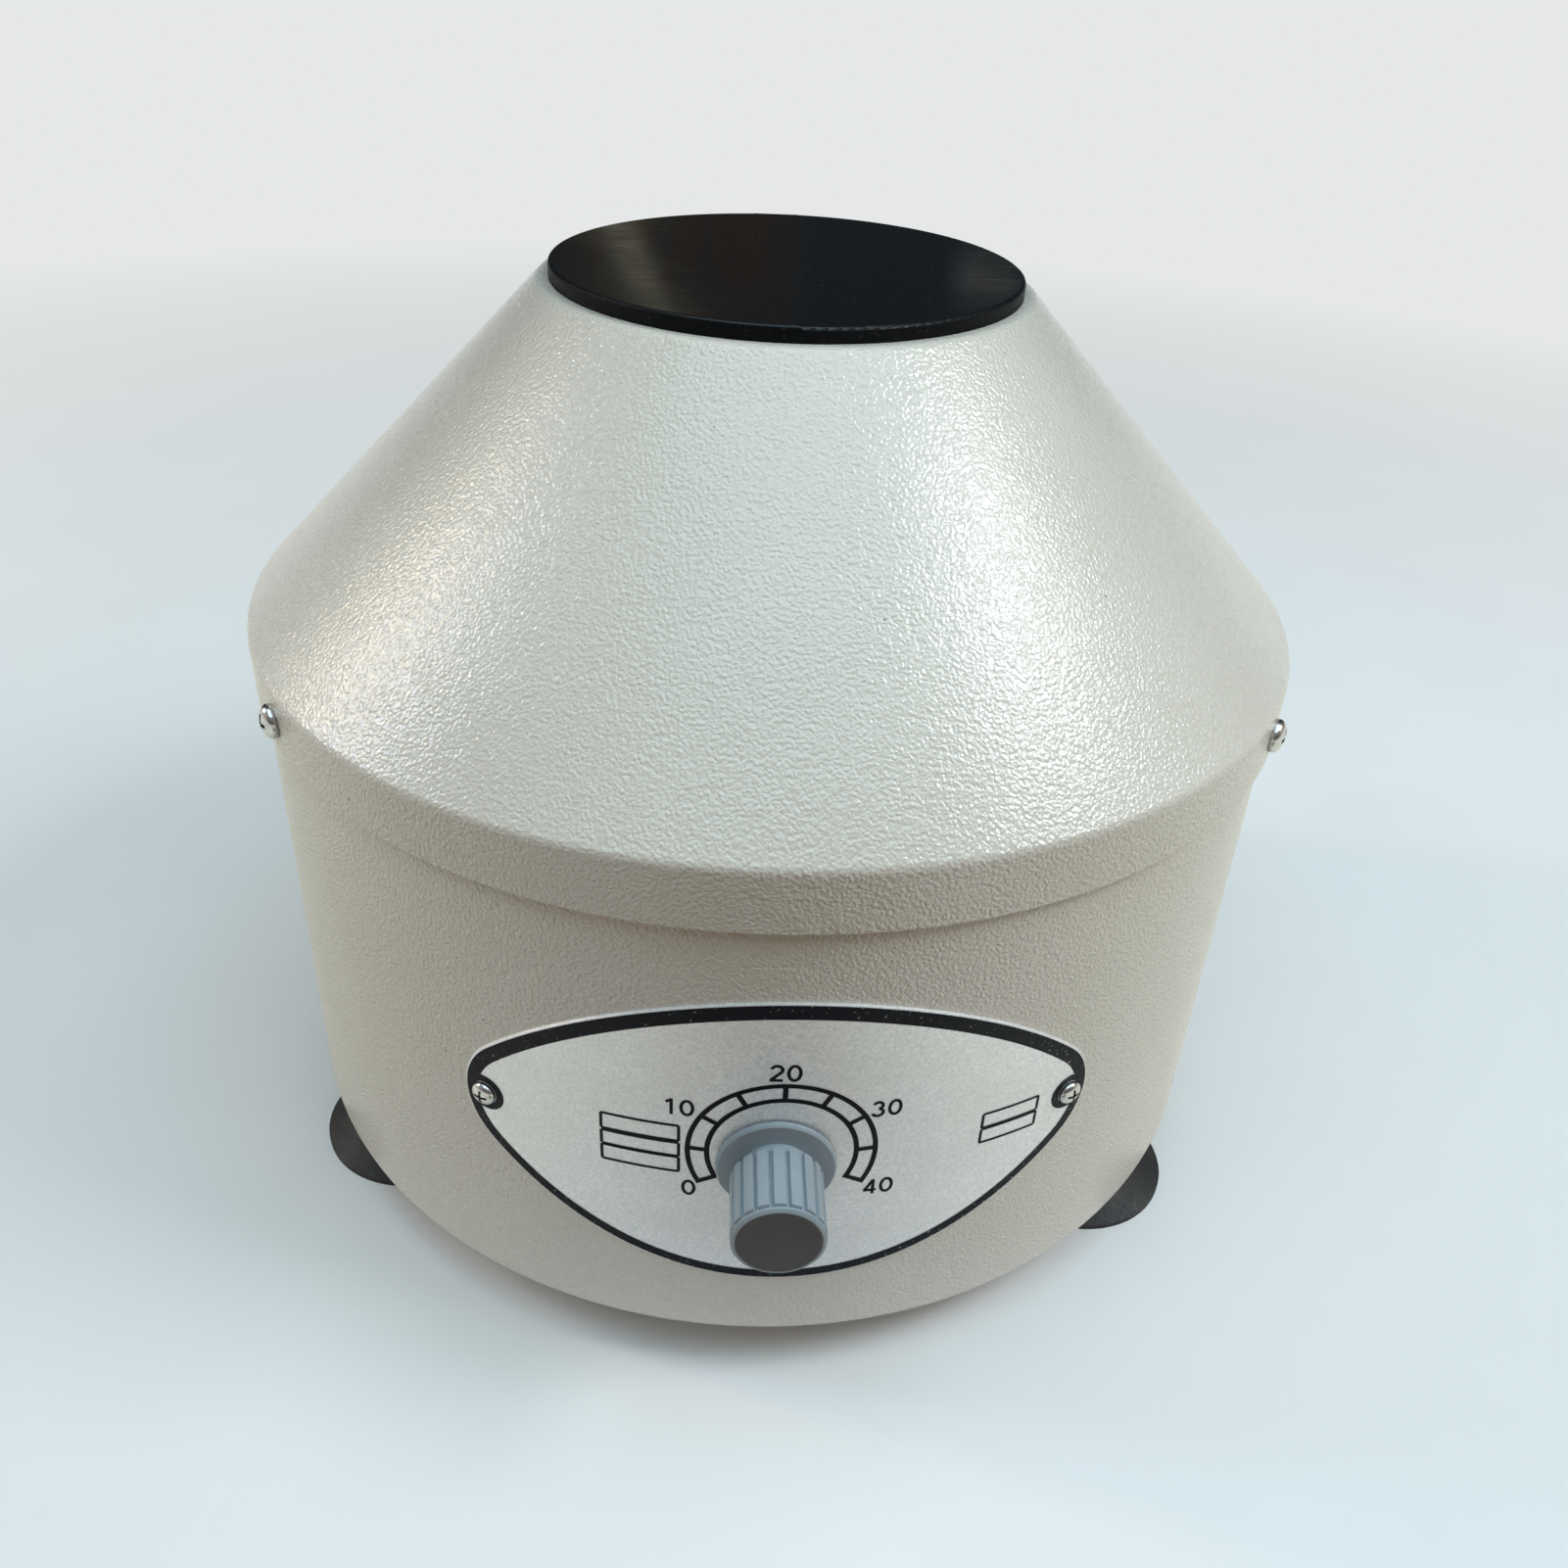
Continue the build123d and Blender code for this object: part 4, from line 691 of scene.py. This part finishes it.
def lensOutline(s, inset):
    # Plate's outline moved inwards; inset is a function of how high on the plate the point is
    drop = s["arcRadius"] - s["halfHeight"]
    endX = math.sqrt((s["arcRadius"] - s["endRadius"]) ** 2 - drop**2)
    meet = math.atan2(endX, drop)
    points = []
    for sign in (1, -1):
        for k in range(s["arcSteps"] + 1):
            t = sign * meet * (2 * k / s["arcSteps"] - 1)
            r = s["arcRadius"] - inset(sign * math.cos(t))
            points.append((r * math.sin(t), sign * (r * math.cos(t) - drop)))
        for k in range(1, s["endSteps"]):
            t = math.pi / 2 - meet - (math.pi - 2 * meet) * k / s["endSteps"]
            r = s["endRadius"] - inset(sign * math.sin(t))
            points.append((sign * (endX + r * math.cos(t)), sign * r * math.sin(t)))
    return points


def makeBorderAndScrewShadows(s, dial):
    def fromFront(point):
        # The outline is cut straight through from the front, so its across is an arc length
        x, up = point
        return dial["radius"] * math.asin(x / dial["radius"]), up + s["centreUp"]

    def innerInset(height):
        return s["inner"] + (s["innerTop"] - s["inner"]) * max(0.0, height)

    builder = bmesh.new()
    outer = [fromFront(p) for p in lensOutline(s, lambda height: s["outer"])]
    inner = [fromFront(p) for p in lensOutline(s, innerInset)]
    addStrip(builder, outer, inner, dial["lift"], closed=True)
    # Painted shadow: a dark ring in the border ink round each screw head
    for side in (-1, 1):
        middle = dial["radius"] * math.asin(side * s["screwAcross"] / dial["radius"])
        turns = [2 * math.pi * k / s["screwShadowRingSteps"] for k in range(s["screwShadowRingSteps"])]
        ways = [(math.sin(t), math.cos(t)) for t in turns]
        rings = [[(middle + r * x, s["centreUp"] + r * y) for x, y in ways] for r in s["screwShadowRing"]]
        addStrip(builder, *rings, dial["lift"] + 2 * dial["layer"], closed=True)
    piece = newPiece("plate_border_print_and_screw_shadows", builder, borderInkAndScrewShadow, "housing")


makeBorderAndScrewShadows(borderAndScrewShadowSettings, dialSettings)
print("stage: dial printed")

# Speed knob: a flange with a bevelled rim, an undercut neck, eighteen round-ended ribs and a nose ring
# round the separate cap. Its depths are measured outwards from its back
knobSettings = {
    "azimuth": -0.7,
    "height": 74.0 * mm,
    "back": 129.5 * mm,
    "length": 20.7 * mm,
    "flangeRadius": 13.0 * mm,
    "flangeDepth": 1.4 * mm,
    "flangeBevel": 0.5 * mm,
    "neckRadius": 7.6 * mm,
    "hollowRadius": 6.8 * mm,
    "hollowDepth": 5.2 * mm,
    "gripRadius": 9.95 * mm,
    "gripStart": 4.2 * mm,
    "gripEnd": 19.3 * mm,
    "ribs": 18,
    "ribEnd": 0.7 * mm,
    "ribRise": 0.3 * mm,
    "ribWidth": (0.45, 0.31),
    "ribFlank": 0.08,
    "grooveDepth": 0.9 * mm,
    "grooveFade": 0.35 * mm,
    "lastRing": 0.15 * mm,
    "capRadius": 8.85 * mm,
    "capDepth": 1.4 * mm,
    "noseGroove": 0.95 * mm,
    "clearance": 0.05 * mm,
    "edge": 0.15 * mm,
    "edgeSteps": 3,
    "ribSteps": 24,
}


def ribHeight(s, turn, along):
    # How much of the groove is filled by a rib, from 0 to 1, at a turn and a distance along the grip.
    # Widths are shares of the pitch: narrow at the rib's tip, wider over its round end
    offset = abs((turn * s["ribs"] / (2 * math.pi)) % 1 - 0.5) * 2
    end = min(1.0, along / s["ribEnd"])
    narrow, widening = s["ribWidth"]
    width = narrow + widening * math.sqrt(max(0.0, 1 - (1 - end) ** 2))
    return max(0.0, min(1.0, (width - offset) / s["ribFlank"])) * min(1.0, 0.5 + along / s["ribRise"])


def makeKnob(s):
    to = outwardAt(s["azimuth"], s["back"], s["height"])
    builder = bmesh.new()
    steps = s["ribs"] * s["ribSteps"]
    grip, start, end, nose = s["gripRadius"], s["gripStart"], s["gripEnd"], s["length"]
    floor = grip - s["grooveDepth"]
    groove, ring = grip - s["noseGroove"], grip - s["clearance"]
    flange = [
        (0, s["hollowDepth"]),
        (s["hollowRadius"], s["hollowDepth"]),
        (s["hollowRadius"], s["clearance"]),
        (s["flangeRadius"], s["clearance"]),
        (s["flangeRadius"], s["flangeDepth"] - s["flangeBevel"]),
        (s["flangeRadius"] - s["flangeBevel"], s["flangeDepth"]),
        (s["neckRadius"], s["flangeDepth"]),
        (s["neckRadius"], start),
        (floor, start + 0.02 * mm),
    ]
    front = [
        (floor, end),
        (groove, end + 0.08 * mm),
        (groove, end + 0.35 * mm),
        (ring, end + 0.42 * mm),
        (ring, nose - 0.55 * mm),
        (s["capRadius"] + 0.25 * mm, nose),
        (s["capRadius"], nose - 0.1 * mm),
        (s["capRadius"], nose - s["capDepth"]),
        (0, nose - s["capDepth"]),
    ]
    base = addLathe(builder, rounded(flange, s["edge"], s["edgeSteps"]), steps, to)[-1]
    tip = addLathe(builder, rounded(front, s["edge"], s["edgeSteps"]), steps, to)[0]
    rings = [base]
    # Rings stand close together where the ribs' round ends begin
    stops = [v * mm for v in (0.03, 0.08, 0.15, 0.25, 0.4, 0.55, 0.75, 4.0, 8.0, 12.0)]
    for stop in stops + [end - start - s["grooveFade"], end - start - s["lastRing"]]:
        fade = min(1.0, (end - start - stop) / s["grooveFade"])
        spots = []
        for k in range(steps):
            turn = 2 * math.pi * k / steps
            radius = floor + s["grooveDepth"] * ribHeight(s, turn, stop) * fade
            spots.append(Vector((radius * math.cos(turn), radius * math.sin(turn), start + stop)))
        rings.append([builder.verts.new(to @ spot) for spot in spots])
    for low, high in zip(rings, rings[1:] + [tip]):
        for k in range(steps):
            n = (k + 1) % steps
            builder.faces.new((low[k], low[n], high[n], high[k]))
    piece = newPiece("fluted_knob", builder, knobGrey, "knob", smooth=50)
    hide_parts("speed_knob")


makeKnob(knobSettings)
print("stage: knob made")


# Pan head screws, each with a domed head and a cross recess. The recess is measured in shares of the
# head's radius, its depth and the dome's foot in shares of the head's height
coverScrewSettings = {
    "azimuths": (-60, 60, 180),
    "out": coverSettings["skirtRadius"],
    "height": 144.0 * mm,
    "headRadius": 4.0 * mm,
    "headHeight": 2.8 * mm,
    "shankRadius": 2.0 * mm,
    "shankLength": 8.0 * mm,
}
plateTurn = math.degrees(math.asin(borderAndScrewShadowSettings["screwAcross"] / dialSettings["radius"]))
plateScrewSettings = {
    "azimuths": (-plateTurn, plateTurn),
    "out": dialSettings["radius"],
    "height": 77.5 * mm,
    "headRadius": 2.9 * mm,
    "headHeight": 2.1 * mm,
    "shankRadius": 1.5 * mm,
    "shankLength": 6.0 * mm,
}
headShape = {
    "domeFoot": 0.3,
    "domeSteps": 10,
    "steps": 48,
    "recessLength": 1.15,
    "recessWidth": 0.24,
    "recessDepth": 0.55,
    "softEdge": 0.06 * mm,
}


def makeScrews(name, node, s):
    spots = [outwardAt(azimuth, s["out"], s["height"]) for azimuth in s["azimuths"]]
    radius, height, shank, length = s["headRadius"], s["headHeight"], s["shankRadius"], s["shankLength"]
    foot, steps = headShape["domeFoot"], headShape["domeSteps"]
    turns = [math.radians(90 * k / steps) for k in range(steps)]
    dome = [(radius * math.cos(t), (foot + (1 - foot) * math.sin(t)) * height) for t in turns]
    under = [(0, -length), (shank, -length), (shank, 0), (radius * 0.97, 0), (radius, 0.08 * height)]
    builder = bmesh.new()
    for spot in spots:
        addLathe(builder, under + dome + [(0, height)], headShape["steps"], spot)
    heads = newPiece(name, builder, nickel, "housing", smooth=40)
    cutter = bmesh.new()
    arm, narrow, deep = (headShape[k] for k in ("recessLength", "recessWidth", "recessDepth"))
    for spot in spots:
        for wide, high in ((arm, narrow), (narrow, arm)):
            box = bmesh.ops.create_cube(cutter, size=1.0)["verts"]
            scale = Matrix.Diagonal((wide * radius, high * radius, 2 * deep * height, 1))
            way = spot @ Matrix.Translation((0, 0, height)) @ scale
            bmesh.ops.transform(cutter, matrix=way, verts=box)
    mesh = bpy.data.meshes.new("recess")
    cutter.to_mesh(mesh)
    cutter.free()
    tool = addObject("recess", mesh)
    cut = heads.modifiers.new("recess", "BOOLEAN")
    cut.object, cut.operation, cut.solver = tool, "DIFFERENCE", "EXACT"
    cut.use_self = True
    bpy.context.view_layer.update()
    cutHeads = heads.evaluated_get(bpy.context.evaluated_depsgraph_get())
    shaped = bpy.data.meshes.new_from_object(cutHeads)
    heads.modifiers.clear()
    heads.data = shaped
    bpy.data.objects.remove(tool)
    softenEdges(heads, headShape["softEdge"], 2, 45)
    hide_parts(node)


makeScrews("cover_screw_heads", "cone_screws", coverScrewSettings)
makeScrews("plate_screw_heads", "dial_plate_screws", plateScrewSettings)

# Carried-over pieces keep their shape, with their edges broken as moulding and pressing leave them;
# each width is in millimetres
softEdges = {
    0.5: ("suction_foot_left", "suction_foot_right", "suction_foot_rear"),
    0.3: ("cord_grommet", "fuse_holder", "fuse_cap", "rotor_head", "shaft_boot"),
    0.12: ("hinge_bracket", "hinge_rivets", "rotor_nut", "tube_sleeves", "chamber_pan"),
}
for width, names in softEdges.items():
    for name in names:
        softenEdges(nodes[name], width * mm, 3, 40)
print("stage: edges softened")

# Camera where the photograph was taken: in front of the drum and above it, slightly left of the dial,
# and turned a little about its line of sight. Angles are in degrees
cameraSettings = {
    "distance": 335.4 * mm,
    "height": 304.3 * mm,
    "azimuth": -3.3,
    "pitch": 32.95,
    "yaw": 0.93,
    "roll": -3.0,
    "lens": 32.05,
    "sensor": 36.0,
    "clip": 0.01,
}


def makeCamera(s):
    heading = math.radians(s["azimuth"])
    pitch, yaw, roll = (math.radians(s[k]) for k in ("pitch", "yaw", "roll"))
    ahead = Vector((math.sin(yaw), math.cos(yaw), 0)) * math.cos(pitch)
    forward = ahead - Vector((0, 0, math.sin(pitch)))
    level = forward.cross(Vector((0, 0, 1))).normalized()
    down = forward.cross(level)
    right = level * math.cos(roll) + down * math.sin(roll)
    low = down * math.cos(roll) - level * math.sin(roll)
    look = Matrix((right, -low, -forward)).transposed().to_4x4()
    where = Matrix.Translation((0, -s["distance"], s["height"])) @ look
    data = bpy.data.cameras.new("camera")
    data.lens, data.sensor_width, data.clip_start = s["lens"], s["sensor"], s["clip"]
    camera = addObject("camera", data)
    camera.matrix_world = Matrix.Rotation(heading, 4, "Z") @ where
    bpy.context.scene.camera = camera


makeCamera(cameraSettings)

# Studio: pale floor, pale surround, a softbox at the right, two narrow windows of warm and cool light
# at the left, and a broad soft light overhead
lampSettings = {
    "right_softbox": {
        "azimuth": 74,
        "elevation": 43,
        "distance": 1.3,
        "size": (0.52, 0.44),
        "power": 8.7,
        "colour": "#F6FBFF",
    },
    "left_warm_strip": {
        "azimuth": -104,
        "elevation": 23,
        "distance": 1.4,
        "size": (0.11, 0.6),
        "power": 3.6,
        "colour": "#FFE4BE",
    },
    "left_cool_strip": {
        "azimuth": -95,
        "elevation": 25,
        "distance": 1.4,
        "size": (0.14, 0.64),
        "power": 3.4,
        "colour": "#D3E6FF",
    },
    "top_softbox": {
        "azimuth": 5,
        "elevation": 79,
        "distance": 1.5,
        "size": (1.5, 1.5),
        "power": 16.4,
        "colour": "#CCEEFF",
    },
}
lampAim = Vector((0, 0, 0.15))


def makeLamp(name, s):
    data = bpy.data.lights.new(name, "AREA")
    data.shape, data.size, data.size_y = "RECTANGLE", *s["size"]
    data.energy, data.color = s["power"], colour(s["colour"])[:3]
    a, e = math.radians(s["azimuth"]), math.radians(s["elevation"])
    way = Vector((math.sin(a) * math.cos(e), -math.cos(a) * math.cos(e), math.sin(e)))
    lamp = addObject(name, data)
    lamp.location = way * s["distance"] + lampAim
    lamp.rotation_mode = "QUATERNION"
    lamp.rotation_quaternion = way.to_track_quat("Z", "Y")


for name, s in lampSettings.items():
    makeLamp(name, s)

# Matt floor, in metres. Close by it takes the object's shadow; far off the camera sees a plain pale colour.
# What it throws back on the object is pale close by and dim and brown far off, as from a dark room
floorSettings = {
    "reach": 20.0,
    "near": 0.32,
    "far": 1.1,
    "colour": "#DDDEDD",
    "tint": "#E0E1E0",
    "patchSize": 90 * mm,
    "pale": "#E6E8E8",
    "glow": (0.16, 0.26),
    "dim": "#3A2710",
    "dimGloss": "#77623F",
    "dimAside": "#B6AA92",
    "glossAside": "#F0E8D8",
    "nearGloss": "#C6C8C8",
    "bounce": "#F6F7FA",
    "aside": (0.16, 0.45),
    "asideGloss": (0.025, 0.14),
}


def rayKinds(tree):
    # Whether a ray is the camera's, also through glass, and whether it is a glossy one
    path = addNode(tree, "LightPath").outputs
    seen = combine(tree, "MAXIMUM", path["Is Camera Ray"], path["Is Transmission Ray"])
    return seen, path["Is Glossy Ray"]


def makeFloor(s):
    material, tree, shader = newMaterial("pale_matt_floor", {"Roughness": 0.85, "Specular IOR Level": 0.2})
    here = addNode(tree, "TexCoord").outputs["Object"]
    away = addNode(tree, "VectorMath", {0: here}, operation="LENGTH").outputs["Value"]
    seen, glossy = rayKinds(tree)
    patches = ramp(tree, lumps(tree, s["patchSize"], detail=3.0), 0.3, 0.7)
    tone = blendColours(tree, patches, colour(s["colour"]), colour(s["tint"]))
    sideways = addNode(tree, "SeparateXYZ", {"Vector": here}).outputs["X"]
    across = combine(tree, "ABSOLUTE", sideways, 0.0)
    farSoft = blendColours(tree, ramp(tree, across, *s["aside"]), colour(s["dim"]), colour(s["dimAside"]))
    beyond = ramp(tree, away, *s["glow"])
    soft = blendColours(tree, beyond, colour(s["bounce"]), farSoft)
    mirrored = blendColours(tree, beyond, colour(s["nearGloss"]), colour(s["dimGloss"]))
    mirrored = blendColours(tree, ramp(tree, across, *s["asideGloss"]), mirrored, colour(s["glossAside"]))
    bounce = blendColours(tree, glossy, soft, mirrored)
    tree.links.new(blendColours(tree, seen, bounce, tone), shader.inputs["Base Color"])
    shown = combine(tree, "MAXIMUM", seen, glossy)
    share = combine(tree, "MULTIPLY", ramp(tree, away, s["near"], s["far"]), shown)
    plain = addNode(tree, "Emission", {"Color": colour(s["pale"])}).outputs["Emission"]
    mixed = addNode(tree, "MixShader", {0: share, 1: shader.outputs["BSDF"], 2: plain})
    tree.links.new(mixed.outputs["Shader"], tree.nodes["Material Output"].inputs["Surface"])
    builder = bmesh.new()
    addLathe(builder, [(0, 0), (s["reach"], 0)], 64)
    mesh = bpy.data.meshes.new("floor")
    builder.to_mesh(mesh)
    builder.free()
    mesh.materials.append(material)
    addObject("floor", mesh)


# Room round the object: pale to the camera; its light is a warm wall under a cooler ceiling, dim at the rear,
# which keeps the polished lid as dark as it is. Far behind, an upright band, a haze to its right and a small
# patch glimmer in the lid. Places are those of a direction one unit long, a reach goes from none to all of
# what it names, and a width from all to none
roomSettings = {
    "wall": (0.66, 0.27),
    "frontReach": (-0.25, -0.72),
    "ceilingReach": (0.25, 0.85),
    "rearReach": (0.1, 0.75),
    "farReach": (0.8, 0.95),
    "rear": 0.06,
    "ceiling": 0.4,
    "front": "#E09040",
    "frontGloss": "#B9B0A4",
    "side": "#E8DAC4",
    "cool": "#E6F0F2",
    "behind": "#AFC4D4",
    "pale": "#E6E8E8",
    "haze": 0.04,
    "hazeColour": "#C09468",
    "hazeAt": -0.02,
    "hazeWidth": (0.065, 0.1),
    "hazeFolds": (30, 3, 8),
    "glimmer": 0.3,
    "glimmerColour": "#D2CEB4",
    "bandAt": -0.152,
    "bandSlant": 0.48,
    "bandWidth": (0.007, 0.016),
    "patchAcross": 0.19,
    "patchWidth": (0.012, 0.03),
    "patchUp": 0.218,
    "patchHeight": (0.005, 0.016),
    "patchShare": 0.7,
}


def closeTo(tree, value, middle, width):
    # 1 where the value is near the middle, and 0 where it is further off
    full, none = width
    off = combine(tree, "ABSOLUTE", combine(tree, "SUBTRACT", value, middle), 0.0)
    return ramp(tree, off, none, full)


def makeSurround(s):
    world = bpy.data.worlds.new("surround")
    bpy.context.scene.world = world
    world.use_nodes = True
    tree = world.node_tree
    way = addNode(tree, "TexCoord").outputs["Generated"]
    axes = addNode(tree, "SeparateXYZ", {"Vector": way}).outputs
    seen, glossy = rayKinds(tree)
    # Front wall, the other walls and the ceiling
    ahead = ramp(tree, axes["Y"], *s["frontReach"])
    up = ramp(tree, axes["Z"], *s["ceilingReach"])
    rear = ramp(tree, axes["Y"], *s["rearReach"])
    frontal = blendColours(tree, glossy, colour(s["front"]), colour(s["frontGloss"]))
    wall = blendColours(tree, ahead, colour(s["side"]), frontal)
    light = blendColours(tree, up, wall, colour(s["cool"]))
    light = blendColours(tree, rear, light, colour(s["behind"]))
    powers = {"Value": up, "To Min": ramp(tree, ahead, 0.0, 1.0, *s["wall"]), "To Max": s["ceiling"]}
    power = addNode(tree, "MapRange", powers).outputs["Result"]
    power = combine(tree, "MULTIPLY", power, ramp(tree, rear, 0.0, 1.0, 1.0, s["rear"]))
    # What glimmers far behind
    slant = combine(tree, "SUBTRACT", axes["X"], scaled(tree, axes["Z"], s["bandSlant"]))
    band = closeTo(tree, slant, s["bandAt"], s["bandWidth"])
    column = closeTo(tree, axes["X"], s["patchAcross"], s["patchWidth"])
    row = closeTo(tree, axes["Z"], s["patchUp"], s["patchHeight"])
    patch = scaled(tree, combine(tree, "MULTIPLY", column, row), s["patchShare"])
    bright = combine(tree, "MAXIMUM", band, patch)
    drape = addNode(tree, "Mapping", {"Vector": way, "Scale": s["hazeFolds"]}).outputs["Vector"]
    weave = addNode(tree, "TexNoise", {"Vector": drape, "Detail": 2.0}).outputs["Fac"]
    folds = ramp(tree, weave, 0.35, 0.65, 0.4, 1.0)
    haze = combine(tree, "MULTIPLY", closeTo(tree, axes["X"], s["hazeAt"], s["hazeWidth"]), folds)
    rearward = ramp(tree, axes["Y"], *s["farReach"])
    glimmers = ((haze, s["hazeColour"], s["haze"]), (bright, s["glimmerColour"], s["glimmer"]))
    for mask, tint, strength in glimmers:
        share = combine(tree, "MULTIPLY", mask, rearward)
        light = blendColours(tree, share, light, colour(tint))
        power = combine(tree, "ADD", power, scaled(tree, share, strength))
    # The camera sees the plain pale colour at full strength, and all other rays the room's own light
    background = tree.nodes["Background"]
    rest = combine(tree, "MULTIPLY", power, combine(tree, "SUBTRACT", 1.0, seen))
    sockets = {
        "Color": blendColours(tree, seen, light, colour(s["pale"])),
        "Strength": combine(tree, "ADD", rest, seen),
    }
    feed(tree, background, sockets)


makeFloor(floorSettings)
makeSurround(roomSettings)
scene = bpy.context.scene
scene.view_settings.view_transform = "Standard"
print("stage: studio made")
